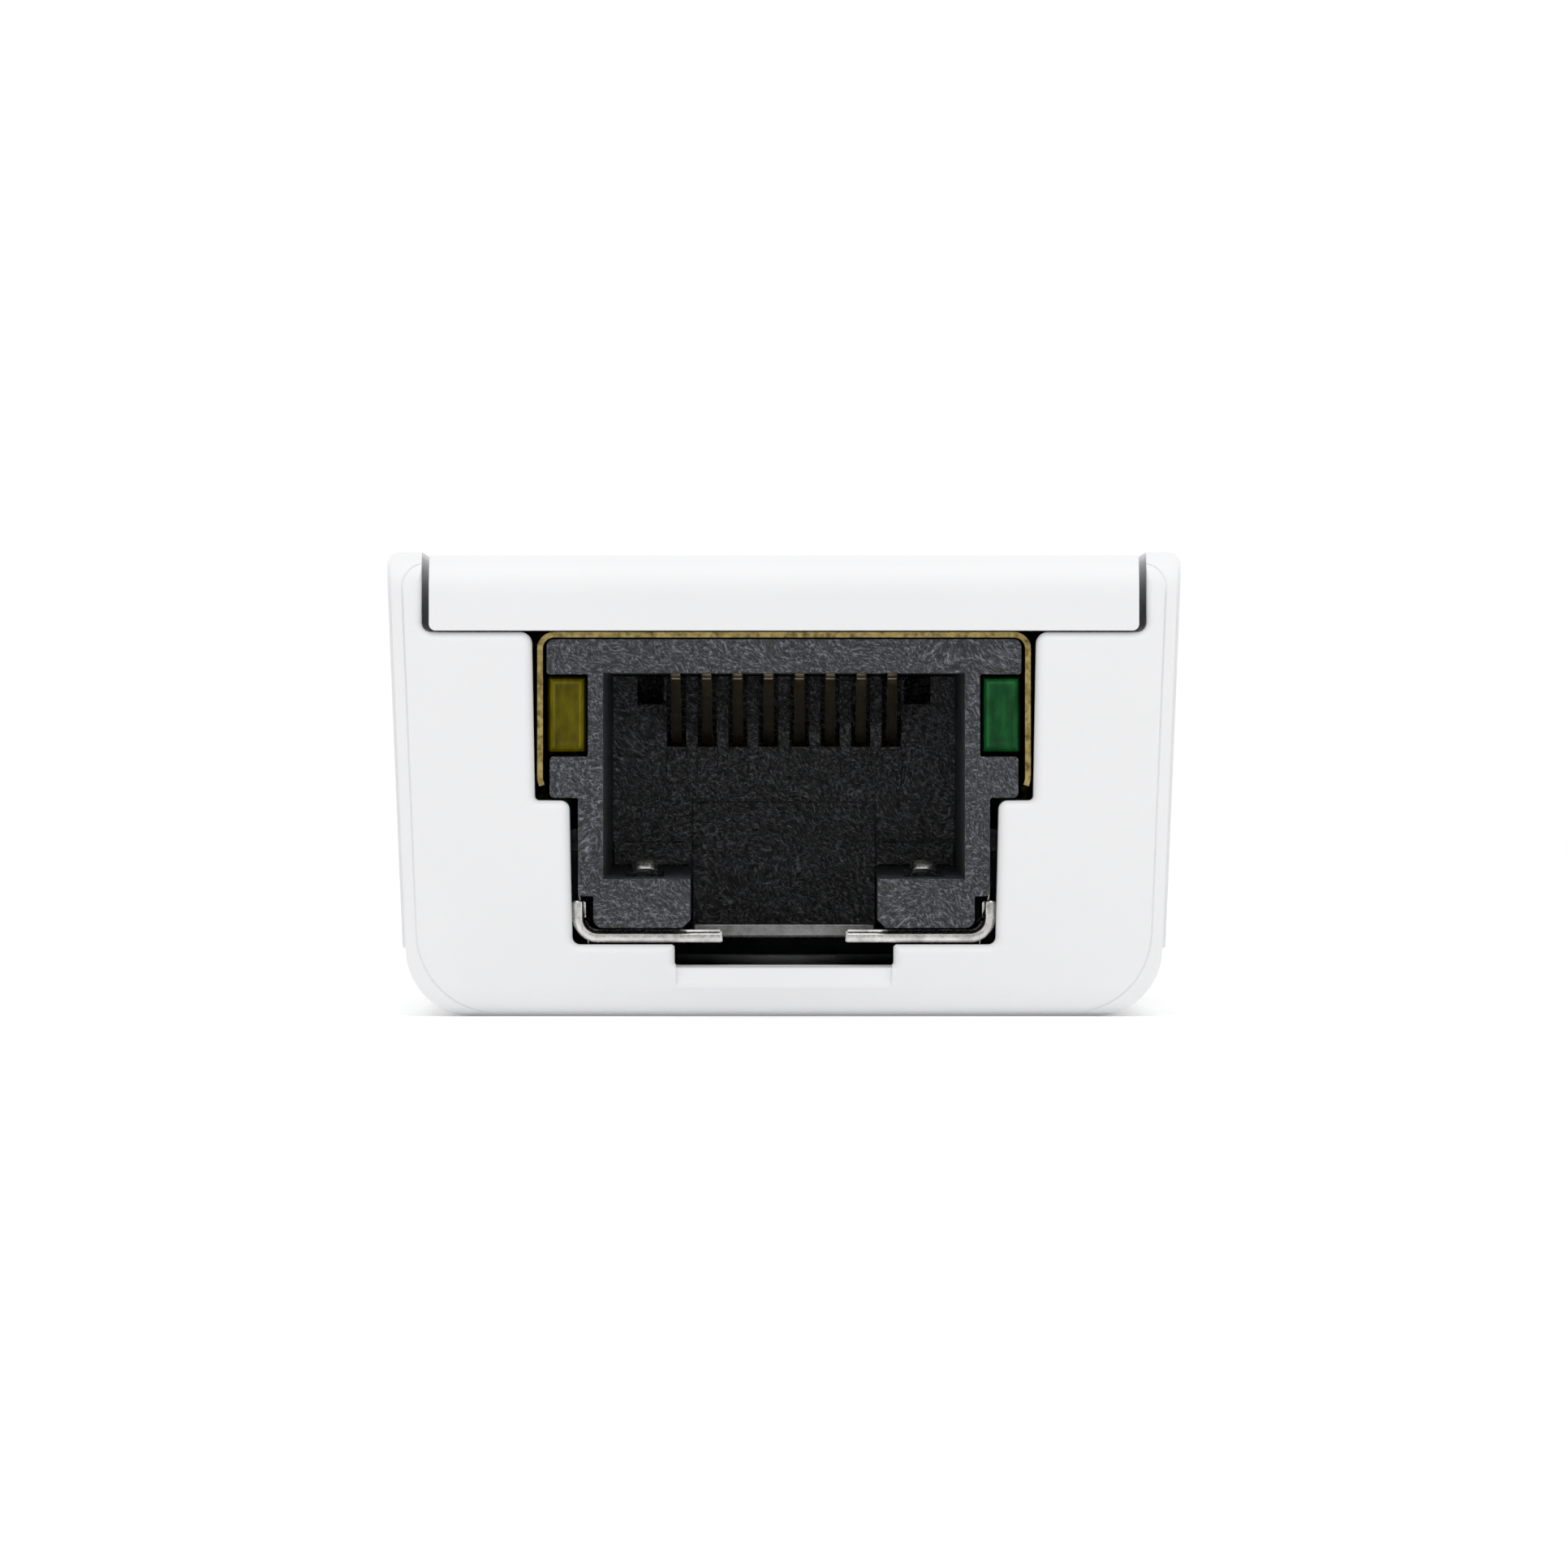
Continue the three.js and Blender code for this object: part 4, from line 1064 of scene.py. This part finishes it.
def ground_spring(side, name):
    """A tongue of sheet that rises to a rounded crest and dips at its tip, bowed across its width."""
    x = side * FINGER_X
    foot, crest, tip = (at(7.72), 2.67), (at(3.95), 5.2, 0.4), (at(3.52), 4.74)
    path = rounded([foot, crest, tip], closed=False, steps=14)
    thick, count = 0.15, 12
    full_bow, bow_from = 0.2, 4  # how far the edges drop, and the path point where the bow is full
    loops = []
    for i, here in enumerate(path):
        first = (here - path[i - 1]).normalized() if i else (path[1] - here).normalized()
        second = (path[i + 1] - here).normalized() if i < len(path) - 1 else first
        along = (first + second).normalized()
        normal = Vector((-along.y, along.x))
        if normal.y < 0:
            normal = -normal
        bow = full_bow * min(1, i / bow_from)
        skin = []
        for face in (1, -1):
            for k in range(count + 1):
                across = -1 + 2 * k / count
                lift = face * thick / 2 - bow * across ** 4
                skin.append((
                    x + face * across * FINGER_HALF,
                    here.x + normal.x * lift,
                    here.y + normal.y * lift,
                ))
        loops.append(skin)
    tongue = lofted(loops, f"spring_{name}")
    dress(tongue, f"spring_{name}", 0.03)
    return finish_piece(tongue, "nickel_sheet", f"ground_{name}", f"ground_spring_{name}")


def led_lens(colour, node):
    """A clear block with a raised face inside a sloping rim."""
    low, high = node_box(node)
    stations = [
        (low.y + 0.08, 0.36),  # (y, inset from the sides): the sunk middle of the face
        (low.y + 0.08, 0.32),
        (low.y, 0.25),
        (low.y, 0.2),
        (low.y + 0.03, 0.15),
        (low.y + 0.2, 0.02),
        (low.y + 0.24, 0),
        (high.y, 0),
    ]
    loops = []
    for y, inset in stations:
        a, b = low.x + inset, high.x - inset
        c, d = low.z + 0.1 + inset, high.z - inset
        ring = rounded([(a, c, 0.08), (b, c, 0.08), (b, d, 0.08), (a, d, 0.08)], steps=4)
        loops.append([(p.x, y, p.y) for p in ring])
    lens = lofted(loops, f"lens_{colour}")
    smooth(lens, 50)
    return finish_piece(lens, f"{colour}_lens", ROOT, node)


socket_housing()
contact_carrier()
contacts()
upper_shield()
lower_shield()
ground_spring(-1, "left")
ground_spring(1, "right")
led_lens("yellow", "yellow_led")
led_lens("green", "green_led")

# ---------------------------------------------------------------- the camera and the studio

PICTURE_WIDTH = 50.98 * MM  # what the picture takes in, at the front face
CAMERA_DISTANCE = 650 * MM


def look():
    camera = bpy.data.cameras.new("camera")
    camera.sensor_width = 36
    camera.lens = camera.sensor_width * CAMERA_DISTANCE / PICTURE_WIDTH
    camera.clip_start = 0.01
    camera.clip_end = 20
    holder = bpy.data.objects.new("camera", camera)
    middle = (CAD_BOX[0].z + CAD_BOX[1].z) / 2
    holder.location = (0, FRONT * MM - CAMERA_DISTANCE, middle)
    holder.rotation_euler = (math.pi / 2, 0, 0)
    bpy.context.scene.collection.objects.link(holder)
    bpy.context.scene.camera = holder


def softbox(name, place, size, power):
    """An area light that faces the middle of the object."""
    light = bpy.data.lights.new(name, "AREA")
    light.shape = "RECTANGLE"
    light.size, light.size_y = size
    light.energy = power
    holder = bpy.data.objects.new(name, light)
    holder.location = place
    target = Vector((0, 0, 0.007))
    holder.rotation_euler = (target - Vector(place)).to_track_quat("-Z", "Y").to_euler()
    bpy.context.scene.collection.objects.link(holder)


def sky(strength, side_loss, dark_share):
    """Light that is even all round, weaker from the left and right, and weakest from straight in front."""
    front_start, front_end = -0.98, -0.82  # Y of the directions between which the front darkens
    world = bpy.data.worlds.new("studio")
    bpy.context.scene.world = world
    world.use_nodes = True
    nodes, links = world.node_tree.nodes, world.node_tree.links
    place = nodes.new("ShaderNodeTexCoord")
    parts = nodes.new("ShaderNodeSeparateXYZ")
    links.new(place.outputs["Generated"], parts.inputs["Vector"])
    square = nodes.new("ShaderNodeMath")
    square.operation = "MULTIPLY"
    links.new(parts.outputs["X"], square.inputs[0])
    links.new(parts.outputs["X"], square.inputs[1])
    sides = nodes.new("ShaderNodeMapRange")
    sides.inputs["To Min"].default_value = strength
    sides.inputs["To Max"].default_value = strength * (1 - side_loss)
    links.new(square.outputs["Value"], sides.inputs["Value"])
    front = nodes.new("ShaderNodeMapRange")
    front.interpolation_type = "SMOOTHSTEP"
    front.inputs["From Min"].default_value = front_start
    front.inputs["From Max"].default_value = front_end
    front.inputs["To Min"].default_value = dark_share
    front.inputs["To Max"].default_value = 1.0
    links.new(parts.outputs["Y"], front.inputs["Value"])
    both = nodes.new("ShaderNodeMath")
    both.operation = "MULTIPLY"
    links.new(sides.outputs["Result"], both.inputs[0])
    links.new(front.outputs["Result"], both.inputs[1])
    background = nodes["Background"]
    background.inputs["Color"].default_value = (1, 1, 1, 1)
    links.new(both.outputs["Value"], background.inputs["Strength"])


def studio():
    sky(strength=1.01, side_loss=0.25, dark_share=0.45)
    softbox("overhead", place=(0, -0.2, 0.58), size=(0.5, 0.5), power=1.0)
    across, along, top = 900, 1500, -0.01  # millimetres
    corners = ((-across, -along), (across, -along), (across, along), (-across, along))
    floor = along_z(corners, top - 1.99, top, "studio_floor")
    material, tree, main, add = shader("studio_floor")
    cloud = grain(tree, add, 8, detail=2)
    shades = [(0.3, grey(0.9)), (0.7, grey(0.92))]
    tree.links.new(ramp(tree, add, cloud.outputs["Fac"], shades), main.inputs["Base Color"])
    main.inputs["Roughness"].default_value = 0.8
    main.inputs["Emission Color"].default_value = (1, 1, 1, 1)
    main.inputs["Emission Strength"].default_value = 0.14
    floor.data.materials.append(material)
    bpy.context.scene.view_settings.view_transform = "Standard"


look()
studio()


def board_parts():
    """The board and the parts on it, as copies of their CAD solids with clean faces and eased edges."""
    easing = 0.03 * MM
    for name, node in frame["nodes"].items():
        if name in REPLACED:
            continue
        piece = new_piece(f"eased_{name}", node.data.copy())
        weld = piece.modifiers.new("weld", "WELD")
        weld.merge_threshold = 0.001 * MM
        flat = piece.modifiers.new("flat", "DECIMATE")
        flat.decimate_type = "DISSOLVE"
        flat.angle_limit = math.radians(1)
        bevel = piece.modifiers.new("edges", "BEVEL")
        bevel.width = easing
        bevel.segments = 2
        bevel.limit_method = "ANGLE"
        bevel.angle_limit = math.radians(32)
        settle(piece)
        finish_piece(piece, SLOTS[name], ROOT, name)


board_parts()
